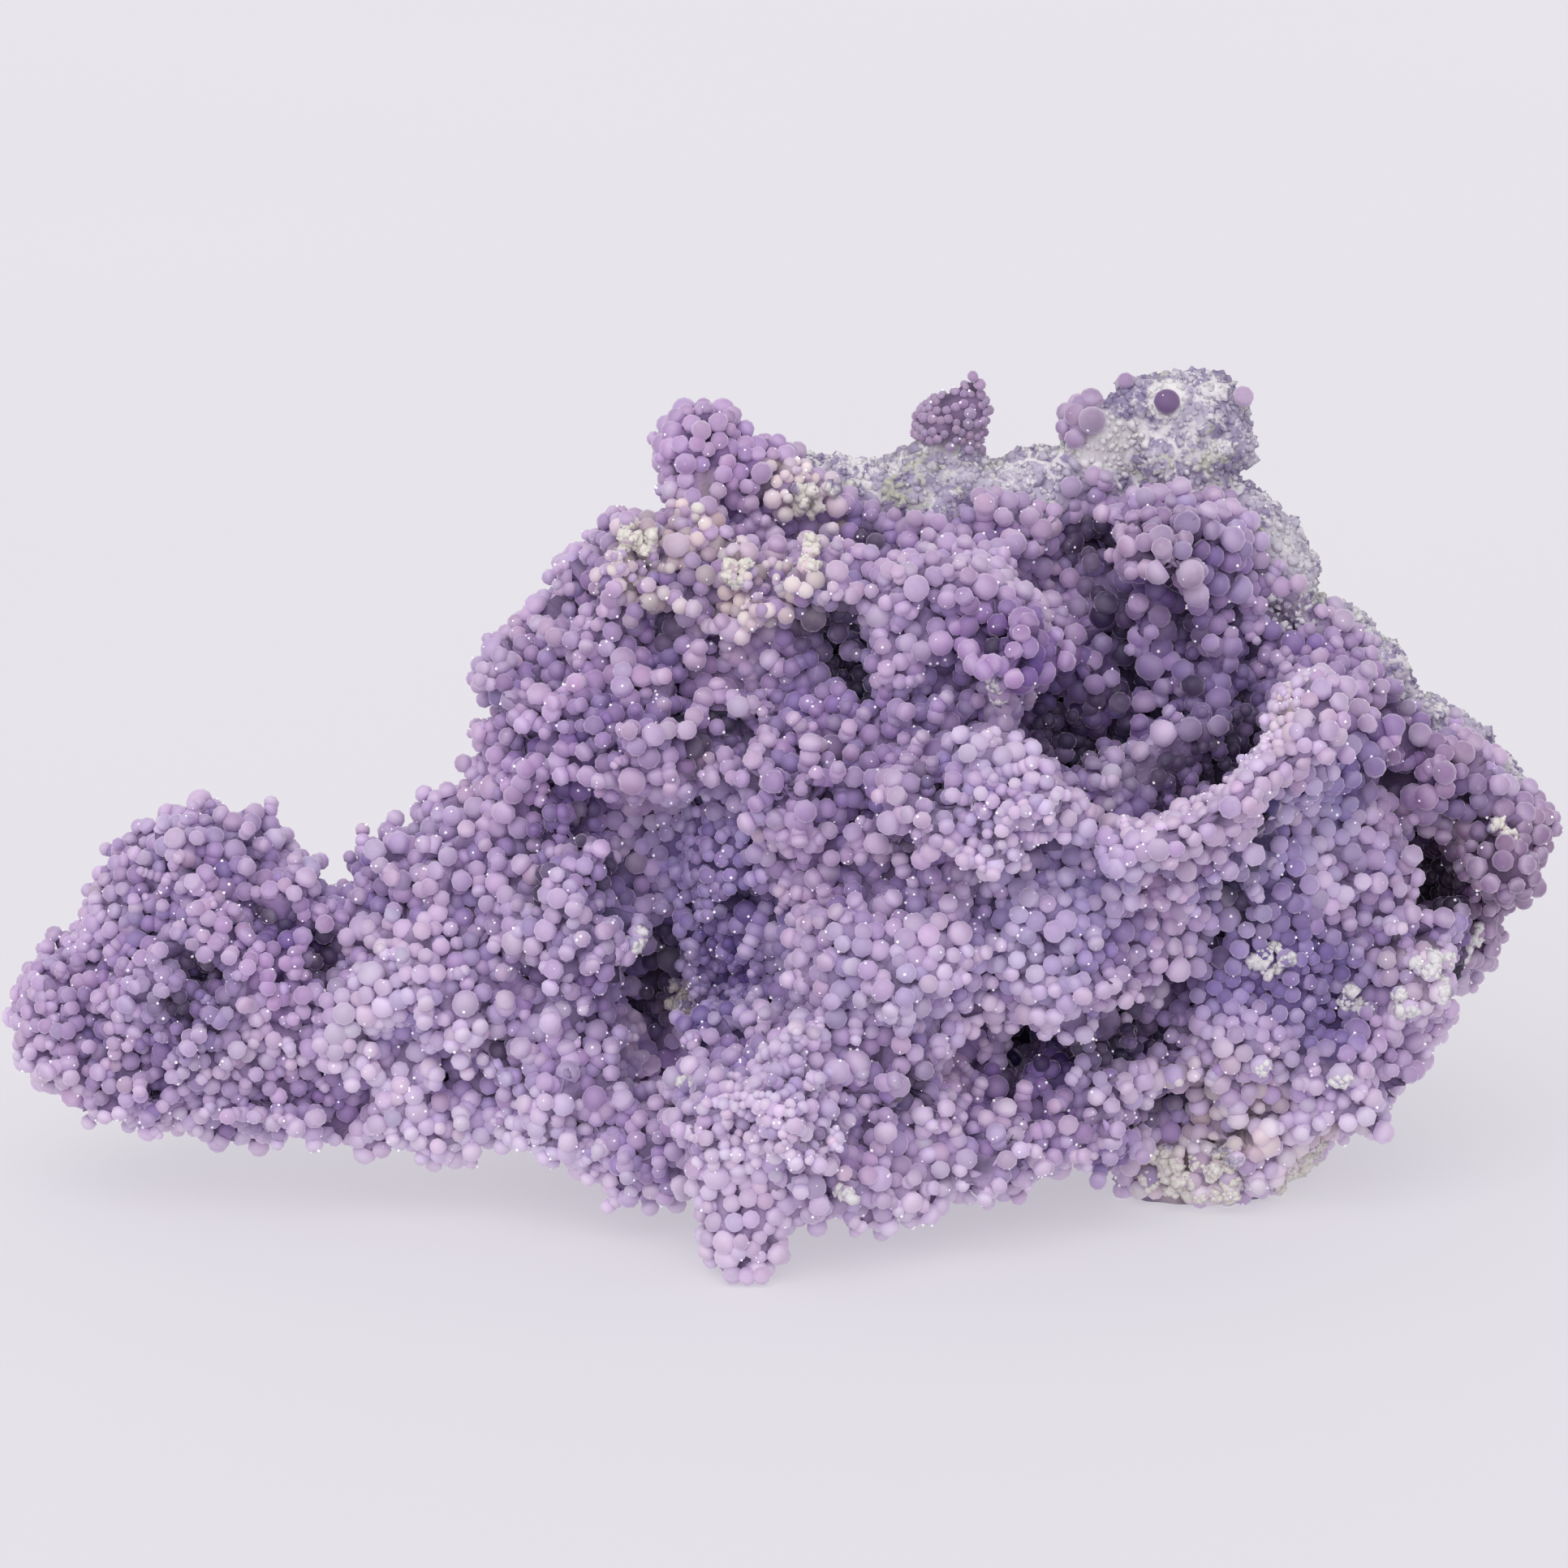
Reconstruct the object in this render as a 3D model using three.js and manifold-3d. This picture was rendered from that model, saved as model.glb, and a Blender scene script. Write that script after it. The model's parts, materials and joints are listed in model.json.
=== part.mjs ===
// A specimen of purple botryoidal chalcedony, the kind called grape agate: one stone, about 200 mm
// long, that grew as thousands of fused spherules over a rind of pale host rock.
// Millimetres. +Z is up, +X runs to the right along the length, -Y faces the viewer.
// The origin is the middle of the footprint, on the surface that the stone rests on.
//
// The stone is a union of balls: each ball is an ellipsoid whose skin swells into rounded domes.
// Hollows are balls of the same kind, cut away. The underside is worn flat where it rests.

import * as THREE from "three";
import { mergeVertices } from "three/addons/utils/BufferGeometryUtils.js";
import Module from "manifold-3d";

const FACET = 9.6; // edge length aimed at on a large ball
const DOME_SPACING = 18; // distance between the tops of neighbouring domes
const VALLEY_DEPTH = 4.5; // how far the skin sinks between domes
const HOLLOW_VALLEY_DEPTH = 2.2; // the same on the skin of a hollow
const DEEPEST_SINK = 0.2; // the most that a small ball sinks, as a part of its radius
const LOWEST_DOME = 0.65; // height of the lowest domes, as a part of the highest
const DOME_REACH = 0.62; // radius of a dome, as a part of the spacing
const ICOSAHEDRON_EDGE = 1.107; // radians between two neighbouring corners, seen from the middle
const BALL_TURN = [1.3, 2.1, 0.7]; // radians that each ball is turned from the ball before it
const FIRST_HOLLOW = 71; // the number that the first hollow is turned and shaped by
const SLIVER = 0.17; // facets that stand out less than this are merged
const FLOOR_WIDTH = 400;
const FLOOR_DEPTH = 40; // thickness of the block that cuts the resting flats
const PURPLE = 0x8f78b4;

// Each ball has its centre, its half widths along X, Y and Z, and its lean: degrees that its +X end
// is raised.
const LEFT_LOBE = [
  { at: [-74, 2, 28], half: [21.5, 22, 20] },
  { at: [-89, 1, 24.5], half: [12, 14, 13.8] },
  { at: [-74.5, 2, 42], half: [14.5, 15, 12] },
  { at: [-67, -2, 16], half: [17, 15, 10.5] },
  { at: [-81, -3, 18], half: [13, 13, 10.5] },
  { at: [-63, -4, 38], half: [9.5, 11, 9.5] },
];
const NECK = [
  { at: [-54, 0, 27], half: [19, 18, 19] },
  { at: [-43, -3, 15], half: [15, 15, 11] },
  { at: [-48, 0, 42], half: [11.5, 13, 10] },
  { at: [-41, -1, 46], half: [12, 14, 10.5] },
  { at: [-43, -9, 31], half: [14, 13, 13] },
];
const LEFT_FLANK = [
  { at: [-29, 0, 36], half: [18, 20, 26] },
  { at: [-26, -12, 38], half: [10, 13, 19] },
  { at: [-28, -11, 19], half: [14, 15, 13] },
  { at: [-17, -18, 12], half: [12, 12, 10] },
  { at: [-32, 2, 59], half: [9.5, 16, 12] },
  { at: [-34, 2, 68], half: [8, 12, 9.5] },
  { at: [-20.5, 8, 70], half: [17, 21, 16.5] },
  { at: [-18, -6, 64], half: [17, 16, 12] },
  { at: [-14.5, 3, 81], half: [17, 17, 13.8] },
];
const CROWN = [
  { at: [-10.5, 12, 95], half: [7.5, 9, 9] },
  { at: [-2, 12, 91.5], half: [7.5, 9, 7.5] },
  { at: [20.5, 22, 95], half: [5.5, 6, 7.5] },
  { at: [24, 22, 97.5], half: [3.5, 4.5, 7] },
  { at: [39, 20, 96], half: [5, 5, 6.5] },
];
const HEART = [
  { at: [14, 10, 48], half: [36, 35, 40] },
  { at: [55, 10, 41], half: [28, 29, 33] },
  { at: [20, 20, 84], half: [27, 20, 12] },
  { at: [6, 18, 87], half: [12, 14, 9] },
  { at: [35, 22, 88], half: [13, 12, 8.5] },
  { at: [52, 18, 77], half: [20.5, 20, 16] },
  { at: [3, -4, 80], half: [12, 12, 11] },
  { at: [19, -4, 80], half: [14, 13, 10] },
  { at: [29, -12, 76], half: [9, 13, 9] },
  { at: [1, -15, 59], half: [11, 13, 9] },
  { at: [24, -22, 59], half: [17, 14, 11] },
  { at: [14, -18, 37], half: [17, 18, 16] },
  { at: [35, -14, 39], half: [17, 17, 17] },
];
const KNOB = [
  { at: [51.5, 24, 94], half: [10.8, 10, 11.5] },
  { at: [62.5, 22, 77.5], half: [9, 13, 10.5] },
  { at: [49, 6, 85], half: [12, 13, 9] },
];
const LIP = [
  { at: [46, -23, 54.6], half: [11, 10, 4.6], lean: 28 },
  { at: [55, -21, 59.2], half: [10, 10, 4.6], lean: 36 },
  { at: [65.5, -14, 66.5], half: [9, 11, 6], lean: 55 },
];
const RIGHT_WING = [
  { at: [71.5, 16, 65], half: [16, 18, 10.5], lean: -40 },
  { at: [72, 0, 60], half: [10, 12, 9], lean: -35 },
  { at: [84.5, 14, 54], half: [15, 18, 9.5], lean: -36 },
  { at: [92, 14, 46], half: [9, 15, 10], lean: -40 },
  { at: [84, 22, 33], half: [13.5, 20, 15] },
  { at: [77, 6, 33], half: [13.5, 20, 21] },
  { at: [69, 2, 18], half: [15.5, 20, 14] },
];
const UNDERSIDE = [
  { at: [56, 2, 10.5], half: [14, 17, 14.5] },
  { at: [57, -7, 22], half: [12, 13, 11] },
  { at: [66, 5, 10], half: [10, 13, 8.5] },
  { at: [48, 1, 5], half: [9, 10, 7.5] },
  { at: [39, -8, 14], half: [14, 16, 9.5] },
  { at: [25, -16, 13], half: [14, 16, 9.5] },
  { at: [11, -22, 10.5], half: [12, 14, 9.5] },
  { at: [13, -22, 23], half: [11, 13, 12] },
  { at: [40, -12, 21], half: [9, 10, 8] },
];
const FOOT = [
  { at: [1, -32.6, 22], half: [8.5, 14.5, 13.5] },
  { at: [-3, -20, 20], half: [14, 15, 15] },
  { at: [-5, -32, 6], half: [7, 7, 8.5] },
  { at: [5, -30, 12], half: [9, 10, 8] },
];
const BACK = [
  { at: [-24, 14, 42], half: [20, 22, 30] },
  { at: [2, 20, 58], half: [28, 22, 32] },
  { at: [42, 24, 60], half: [30, 18, 28] },
  { at: [68, 22, 44], half: [22, 22, 26] },
  { at: [-18, 17, 18], half: [22, 21, 22] },
  { at: [12, 24, 28], half: [26, 19, 24] },
  { at: [38, 22, 19], half: [26, 20, 23] },
];
const SHELF = [
  { at: [52, -13, 50], half: [13, 14, 9], lean: 30 },
  { at: [65, -7, 60], half: [11, 13, 9], lean: 35 },
  { at: [-9, -28, 19], half: [8.5, 13, 11] },
  { at: [46.5, 22, 99], half: [5, 6, 5] },
];
const REGIONS = [
  LEFT_LOBE, NECK, LEFT_FLANK, CROWN, HEART, KNOB, LIP, RIGHT_WING, UNDERSIDE, FOOT, BACK, SHELF,
];
const HOLLOWS = [
  { at: [45, -18, 69], half: [16, 28, 7.5], lean: 24 },
  { at: [36, -10, 66], half: [7, 16, 7] },
  { at: [55, -12, 72], half: [8, 18, 8.5], lean: 40 },
  { at: [7, -22, 79], half: [6, 10, 6] },
  { at: [38, 4, 86], half: [4, 10, 6] },
  { at: [-16, -32, 33], half: [3.5, 14, 15] },
  { at: [28, -32, 25.5], half: [9, 8, 2.6], lean: 12 },
  { at: [48, -22, 17], half: [6, 10, 8] },
  { at: [66, -28, 44], half: [11, 14, 15] },
  { at: [86, 0, 43], half: [6, 14, 5] },
  { at: [-70, -25, 33], half: [10, 9, 9] },
  { at: [51.5, -19, 61.6], half: [13, 12, 3.6], lean: 36 },
];

// A number from 0 to 1 that looks random but is always the same for the same two integers.
function scatter(a, b) {
  const spread = Math.sin(a * 12.9898 + b * 78.233) * 43758.5453;
  return spread - Math.floor(spread);
}

// Only the positions of a geometry, with the corners that its triangles share merged.
function bare(geometry) {
  geometry.deleteAttribute("normal");
  geometry.deleteAttribute("uv");
  return mergeVertices(geometry, 1e-4);
}

// An icosahedral ball of radius 1, each edge of the icosahedron cut into that many parts.
function unitBall(parts) {
  return bare(new THREE.IcosahedronGeometry(1, parts - 1));
}

function directionsOf(geometry) {
  const position = geometry.getAttribute("position");
  return Array.from({ length: position.count }, (_, i) =>
    new THREE.Vector3().fromBufferAttribute(position, i).normalize(),
  );
}

// How high the skin stands at a direction, from 0 in a valley to 1 on top of a dome: a parabola
// around the nearest dome's top, some domes standing lower than others.
function domeHeight(direction, tops, reach, seed) {
  let best = 0;
  tops.forEach((top, i) => {
    const fall = (direction.angleTo(top) / reach) ** 2;
    const height = LOWEST_DOME + (1 - LOWEST_DOME) * scatter(i, seed);
    best = Math.max(best, (1 - fall) * height);
  });
  return best;
}

// An ellipsoid whose skin swells into domes. Its own corners line up with the tops of the domes.
function ballGeometry({ at, half, lean = 0 }, seed, valleyDepth) {
  const radius = Math.cbrt(half[0] * half[1] * half[2]);
  const edge = radius * ICOSAHEDRON_EDGE;
  const domes = Math.max(1, Math.round(edge / DOME_SPACING));
  const parts = domes * Math.max(2, Math.round(edge / FACET / domes));
  const tops = directionsOf(unitBall(domes));
  const reach = (DOME_REACH * ICOSAHEDRON_EDGE) / domes;
  const depth = Math.min(DEEPEST_SINK, valleyDepth / radius);

  const geometry = unitBall(parts);
  const turn = new THREE.Euler(...BALL_TURN.map((angle) => angle * seed));
  const raise = new THREE.Euler(0, -THREE.MathUtils.degToRad(lean), 0);
  const stretch = new THREE.Vector3(...half);
  const centre = new THREE.Vector3(...at);
  directionsOf(geometry).forEach((direction, i) => {
    const sink = depth * (1 - domeHeight(direction, tops, reach, seed));
    const point = direction.applyEuler(turn).multiplyScalar(1 - sink);
    point.multiply(stretch).applyEuler(raise).add(centre);
    geometry.getAttribute("position").setXYZ(i, point.x, point.y, point.z);
  });
  return geometry;
}

const wasm = await Module();
wasm.setup();

function solidOf(geometry) {
  return new wasm.Manifold(
    new wasm.Mesh({
      numProp: 3,
      vertProperties: new Float32Array(geometry.getAttribute("position").array),
      triVerts: new Uint32Array(geometry.index.array),
    }),
  );
}

function geometryOf(solid) {
  const mesh = solid.getMesh();
  const geometry = new THREE.BufferGeometry();
  geometry.setAttribute("position", new THREE.BufferAttribute(mesh.vertProperties, 3));
  geometry.setIndex(new THREE.BufferAttribute(mesh.triVerts, 1));
  return geometry;
}

// The block below the resting surface, which leaves the lowest domes with worn flats.
function floorSolid() {
  const block = new THREE.BoxGeometry(FLOOR_WIDTH, FLOOR_WIDTH, FLOOR_DEPTH);
  block.translate(0, 0, -FLOOR_DEPTH / 2);
  return solidOf(bare(block));
}

function stoneGeometry() {
  const masses = REGIONS.flat().map((ball, i) => solidOf(ballGeometry(ball, i + 1, VALLEY_DEPTH)));
  const hollows = HOLLOWS.map((ball, i) => {
    return solidOf(ballGeometry(ball, FIRST_HOLLOW + i, HOLLOW_VALLEY_DEPTH));
  });
  const lumpy = masses.reduce((whole, mass) => whole.add(mass));
  const hollowed = hollows.reduce((whole, hollow) => whole.subtract(hollow), lumpy);
  const geometry = geometryOf(hollowed.subtract(floorSolid()).simplify(SLIVER));
  geometry.computeBoundingBox();
  const middle = geometry.boundingBox.getCenter(new THREE.Vector3());
  geometry.translate(-middle.x, -middle.y, 0);
  return geometry;
}

const chalcedony = new THREE.Mesh(
  stoneGeometry(),
  new THREE.MeshStandardMaterial({
    color: PURPLE,
    roughness: 0.6,
    metalness: 0,
    flatShading: true,
  }),
);
chalcedony.name = "chalcedony";

const specimen = new THREE.Group();
specimen.add(chalcedony);
export default specimen;
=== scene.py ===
"""A specimen of purple botryoidal chalcedony, the kind called grape agate.

The stone body is the solid's own surface, smoothed and sunk unevenly, so that it lies deep between
clusters and comes up bare where the host rock shows. Spherules grow on it in a base layer and in
short chains that reach out to the solid's surface, and small quartz crystals glint between them.

Lengths are millimetres in the row frame until a mesh is made.
"""

import json
import logging
import math
from dataclasses import dataclass, fields
from enum import Enum, IntEnum
from typing import Iterator, Sequence

import bmesh
import bpy
import numpy as np
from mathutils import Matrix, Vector

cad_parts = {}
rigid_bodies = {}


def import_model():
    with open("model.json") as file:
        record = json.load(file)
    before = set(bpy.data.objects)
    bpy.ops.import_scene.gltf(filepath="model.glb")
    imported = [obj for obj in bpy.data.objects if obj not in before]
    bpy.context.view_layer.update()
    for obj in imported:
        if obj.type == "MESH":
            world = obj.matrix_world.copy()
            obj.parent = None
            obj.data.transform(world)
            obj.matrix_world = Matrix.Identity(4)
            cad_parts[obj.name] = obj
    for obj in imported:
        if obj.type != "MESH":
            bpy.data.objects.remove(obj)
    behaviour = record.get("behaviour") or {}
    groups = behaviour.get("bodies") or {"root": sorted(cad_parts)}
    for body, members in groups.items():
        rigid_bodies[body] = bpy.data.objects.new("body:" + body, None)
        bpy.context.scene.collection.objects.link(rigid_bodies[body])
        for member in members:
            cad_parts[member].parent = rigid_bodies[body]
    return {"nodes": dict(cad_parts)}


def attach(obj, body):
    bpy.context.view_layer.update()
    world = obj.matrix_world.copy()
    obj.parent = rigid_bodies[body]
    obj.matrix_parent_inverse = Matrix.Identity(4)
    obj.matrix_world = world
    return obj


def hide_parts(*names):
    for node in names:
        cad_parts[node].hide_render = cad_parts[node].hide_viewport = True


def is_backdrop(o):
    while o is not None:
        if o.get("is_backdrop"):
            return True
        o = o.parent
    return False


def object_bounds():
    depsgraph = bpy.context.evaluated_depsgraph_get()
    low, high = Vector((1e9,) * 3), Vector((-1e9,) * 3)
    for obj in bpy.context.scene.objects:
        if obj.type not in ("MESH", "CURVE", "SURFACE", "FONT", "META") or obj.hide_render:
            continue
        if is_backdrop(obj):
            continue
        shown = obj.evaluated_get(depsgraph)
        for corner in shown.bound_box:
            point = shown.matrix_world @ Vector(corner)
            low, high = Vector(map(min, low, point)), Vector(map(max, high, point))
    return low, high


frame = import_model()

MM = 0.001
NODE = "chalcedony"
BODY = "root"

Array = np.ndarray
Point = tuple[float, float, float]
Colour = tuple[float, float, float, float]
Span = tuple[float, float]

log = logging.getLogger("grape agate")


def linear(hex_code: str) -> Colour:
    """A screen colour as linear light.

    Args:
        hex_code: Six hexadecimal digits, red, green and blue.

    Returns:
        Red, green, blue and an alpha of 1.
    """
    screen = [int(hex_code[i : i + 2], 16) / 255 for i in (0, 2, 4)]
    red, green, blue = (c / 12.92 if c < 0.04045 else ((c + 0.055) / 1.055) ** 2.4 for c in screen)
    return (red, green, blue, 1.0)


# Pale frost: the frosted skin's mottling, and painted light: each bead's paler edge as a painted
# sheen, and painted light from below.
FROST_AND_PAINTED_LIGHT = linear("E6DAEE")


def smooth_step(low: float, high: float, values: Array) -> Array:
    """A smooth rise from 0 at low to 1 at high, which may be the lower of the two: 3t^2 - 2t^3."""
    t = np.clip((values - low) / (high - low), 0, 1)
    return t * t * (3 - 2 * t)


def blend(a: Array, b: Array, share: Array) -> Array:
    """Rows of a turned towards b by a share from 0 to 1."""
    return a + (b - a) * share[:, None]


def unit(vectors: Array) -> Array:
    """Each row at length 1."""
    return vectors / np.maximum(np.linalg.norm(vectors, axis=1, keepdims=True), 1e-9)


# Fields over space

WORD = 0xFFFFFFFF
CELL_MIX = np.array([73856093, 19349663, 83492791])
SEED_MIX = 2654435761
MIX_ROUNDS = ((15, 2246822519), (13, 3266489917))
LAST_SHIFT = 16
OCTAVE_SHIFT = 17.3
CELL_MARGIN = 0.15
CELL_ROOM = 0.7
FAR = 9.0


class Seed(IntEnum):
    """The random field that each thing is read from."""

    RAGGED = 11
    ISLANDS = 12
    WANDER = 21
    CLUSTERS = 22
    RIDGES = 23
    CRAGS = 24
    ROCK_EDGES = 25
    BEADS = 26
    BODY_CHANCE = 27
    HUMPS = 28
    CHALKY_EDGES = 29
    BLUE_DRIFT = 31
    PITS = 32
    GRAPE_DRIFT = 33


@dataclass(frozen=True)
class Field:
    """Random fields over space, always the same for the same seed."""

    seed: int

    def chance(self, cells: Array) -> Array:
        """A random number for each cell: its three numbers and the seed, mixed as 32 bits.

        Args:
            cells: Rows of three whole numbers.

        Returns:
            One number from 0 to 1 for each row.
        """
        mixed = cells.astype(np.int64) @ CELL_MIX
        mixed = (mixed + self.seed * SEED_MIX) & WORD
        for shift, factor in MIX_ROUNDS:
            mixed = ((mixed ^ (mixed >> shift)) * factor) & WORD
        return (mixed ^ (mixed >> LAST_SHIFT)) / WORD

    def swell(self, points: Array, size: float, octaves: int = 2) -> Array:
        """Soft waves from 0 to 1: chances at a grid's corners, blended by 6t^5 - 15t^4 + 10t^3.

        Args:
            points: Rows of x, y, z.
            size: Width of a grid cell of the first octave.
            octaves: How many grids are added, each half as wide and half as strong.

        Returns:
            One value for each row.
        """
        total, weight = np.zeros(len(points)), 0.0
        for octave in range(octaves):
            scaled = points * (2**octave / size) + OCTAVE_SHIFT * octave
            cell = np.floor(scaled)
            t = scaled - cell
            t = t * t * t * (t * (t * 6 - 15) + 10)
            value = np.zeros(len(points))
            for corner in np.ndindex(2, 2, 2):
                side = np.array(corner)
                value += np.prod(np.where(side, t, 1 - t), axis=1) * self.chance(cell + side)
            total += value / 2**octave
            weight += 1 / 2**octave
        return total / weight

    def cells(self, points: Array, size: float) -> tuple[Array, Array]:
        """The nearest of one random centre in each grid cell.

        Args:
            points: Rows of x, y, z.
            size: Width of a grid cell.

        Returns:
            The distance to the nearest centre in cell widths, and a number from 0 to 1 that goes
            with that centre.
        """
        scaled = points / size
        home = np.floor(scaled)
        nearest = np.full(len(points), FAR)
        owner = np.zeros(len(points))
        for step in np.ndindex(3, 3, 3):
            cell = home + np.array(step) - 1
            place = np.stack([Field(self.seed + k).chance(cell) for k in (1, 2, 3)], axis=1)
            centre = cell + CELL_MARGIN + CELL_ROOM * place
            distance = np.linalg.norm(centre - scaled, axis=1)
            closer = distance < nearest
            nearest = np.where(closer, distance, nearest)
            owner = np.where(closer, self.chance(cell), owner)
        return nearest, owner


SOFT_EDGE = (1.25, 0.75)
GAP_MARGIN = 1.1
GAP_REACH = 9.0


@dataclass(frozen=True)
class Patch:
    """A part of the stone: an ellipsoid with a soft, ragged edge, its +X end raised by lean."""

    centre: Point
    half: Point
    strength: float = 1.0
    lean: float = 0.0
    raggedness: float = 0.7

    def weight(self, points: Array, ragged: Array) -> Array:
        """How much of the patch each point has.

        Args:
            points: Rows of x, y, z.
            ragged: A number from 0 to 1 for each point, which moves the edge in and out.

        Returns:
            The strength well inside the ellipsoid, and 0 well outside.
        """
        lean = math.radians(self.lean)
        c, s = math.cos(lean), math.sin(lean)
        turned = (points - np.array(self.centre)) @ np.array([[c, 0, -s], [0, 1, 0], [s, 0, c]])
        reach = np.linalg.norm(turned / np.array(self.half), axis=1)
        return self.strength * smooth_step(*SOFT_EDGE, reach + self.raggedness * (ragged - 0.5))


def spot(x: float, y: float, z: float, radius: float, strength: float = 1.0) -> Patch:
    """A round patch."""
    return Patch((x, y, z), (radius, radius, radius), strength)


def gap(x: float, y: float, z: float, length: float, width: float, lean: float) -> Patch:
    """An open gap between clusters, half as long and wide as seen, and a spherule's radius more."""
    half = (length + GAP_MARGIN, GAP_REACH, width + GAP_MARGIN)
    return Patch((x, y, z), half, 1.0, lean, 0.2)


def strongest(patches: Sequence[Patch], points: Array, ragged: Array) -> Array:
    """The highest weight of any of the patches at each point."""
    return np.max([patch.weight(points, ragged) for patch in patches], axis=0)


# Where the stone changes

ROCK = (
    Patch((20, 27, 93), (29, 18, 8)),
    Patch((53, 25, 98), (13, 12, 12)),
    Patch((66, 21, 82), (10, 12, 13)),
    Patch((78, 24, 68), (12, 12, 11)),
    Patch((88, 22, 59), (10, 11, 9)),
    Patch((97, 20, 52), (8, 10, 7)),
)
GROWTHS = (
    Patch((22, 22, 102), (9, 10, 9)),
    Patch((38.2, 20, 97.8), (2.4, 3.5, 2.6)),
)
CRUMBLY = (
    spot(47.8, -7, 5.2, 3.5),
    spot(52, -8, 4, 3),
    spot(55.3, -10, 4.5, 4.5),
    spot(67.2, 0.5, 4, 4.5),
    spot(73, -3, 7, 3.5),
    spot(61, -12, 35, 2.6),
    spot(73, -6.5, 28.6, 2.3),
    spot(80.5, -10, 31.5, 5),
    spot(82.1, -9, 35.4, 4.6),
    spot(89.7, 6.9, 31.7, 3),
    spot(93.5, 3.5, 48.3, 2.4),
    spot(70.3, -14, 20.9, 2.2),
    spot(60.6, -15.5, 22, 2),
    spot(-18, -4.5, 88.5, 3),
    spot(2.7, -8, 87.5, 3),
    spot(-6.5, -7.5, 85.4, 2.2),
    spot(3.8, 7.4, 90, 3),
    spot(27, -16, 72, 2.5),
    spot(-13.3, 1, 26, 2.4),
    spot(-13, -26.5, 24, 2.8),
    spot(9, -35.5, 12.5, 2.6),
    spot(-18, -15, 38.5, 2),
)
CHALK = (
    Patch((22, 20, 91), (18, 9, 7), 0.27),
    spot(41, 18, 96, 4),
    spot(45, 16, 97, 3),
    Patch((49.3, 19, 101.3), (2.5, 6, 2.5)),
    spot(66, 14, 84, 5, 0.4),
    *CRUMBLY,
)
WARM = (
    spot(93, 3, 48, 4, 0.7),
    spot(-8, -2, 88, 18, 0.8),
    spot(-13, 1, 26, 6),
    Patch((60, -5, 3), (24, 14, 10), 0.7),
)
RELIEF = (
    Patch((31, -7, 21), (8, 10, 6), 5.0),
    Patch((91, 9, 40), (5, 9, 7), 4.0),
    Patch((81, -8, 33), (5, 7, 6), 1.5),
    Patch((53, 24, 98), (13, 12, 11), 1.6),
    Patch((-9, -6, 30), (5, 13, 11), 2.5),
    Patch((-56, -12, 13), (6, 10, 6), 2.2),
    Patch((-66, 0, 49), (11, 10, 7), 1.5),
    Patch((-86, 0, 41), (6, 10, 6), 1.8),
    Patch((-90, -3, 17), (9, 10, 6), 1.3),
)
GAPS = (
    gap(36.4, 1, 62, 4.6, 3.7, 10),
    gap(44, 3, 65.5, 4.5, 0.7, 22),
    gap(51.5, -8.5, 59.4, 7.6, 1.9, 31),
    gap(59, -4, 63.6, 3.8, 1.5, 42),
    gap(84.6, 8, 40.5, 5.6, 2.0, -70),
    gap(4, -13, 77, 3.6, 1.8, 81),
    gap(41, 5, 77, 4.2, 2.3, -60),
    Patch((-15.8, 0, 29), (10, 22, 2.4), 1.0, 86, 0.2),
    gap(-19.5, -12, 45.5, 4.5, 0.8, 88),
    gap(39, 12, 84, 3.0, 1.8, 46),
    gap(51, 3, 74, 2.7, 1.5, -64),
    gap(60, 0, 66, 5.4, 1.4, 80),
    gap(42, -19, 28, 2.1, 1.2, 79),
    gap(34, -12, 24.3, 5.0, 1.2, 8),
    gap(43, -11, 24, 4.5, 1.3, 10),
    gap(8, -12, 78, 2.9, 1.7, -79),
    gap(49, -14, 14, 3.0, 2.3, 84),
    gap(53, -1, 68, 2.7, 1.2, 78),
    gap(50, -13, 30, 3.4, 0.8, 76),
    gap(-19, -14, 49, 2.3, 1.1, -58),
    gap(30, -6, 21, 2.9, 0.8, 35),
    gap(60, -13, 50, 2.9, 0.8, 60),
    gap(17, -30, 64, 2.1, 1.0, -71),
    gap(8, -13, 73, 2.0, 1.0, 0),
    gap(-11, -13, 71, 2.0, 0.9, 35),
    gap(17, -31, 23, 3.0, 1.1, 30),
    gap(-5, -15, 43, 2.7, 0.6, 24),
    gap(-11, -17, 63, 1.8, 0.7, 88),
    gap(11, 5, 85, 1.1, 1.0, 0),
    gap(15, -27, 54, 1.7, 0.6, -84),
    gap(80, 3, 64, 1.2, 0.7, -63),
    gap(55, -14, 37, 1.2, 0.6, -86),
    gap(45, 8, 68, 1.6, 0.5, -55),
    gap(6, -19, 65, 0.9, 0.7, 33),
    gap(77, -5, 55, 3.8, 1.4, -39),
    gap(-25, -15, 53, 2.9, 1.0, 59),
    gap(57, -16, 44, 3.6, 1.1, -75),
    gap(-15, -9, 77, 2.0, 0.9, -90),
    gap(-58, -11, 35, 2.7, 1.2, 80),
    gap(-74, -14, 34, 3.0, 1.0, -30),
    gap(-65, -12, 40, 3.1, 1.0, -20),
    gap(-77, -16, 29, 2.0, 0.9, -30),
    gap(-32, -18, 34, 1.6, 0.8, -90),
    gap(-36, -17, 24, 1.4, 0.8, -20),
)
CALM = (
    spot(64, -12, 33, 11, 0.7),
    spot(71, -9, 53, 6, 0.6),
    spot(-11, -12, 46, 7),
    spot(22, 22, 101, 9),
    spot(14, -32, 41, 7, 0.8),
)
RAISED = (Patch((22, 22, 101), (8, 8, 9)), Patch((60, -6, 3), (20, 9, 5), 0.6))
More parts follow.
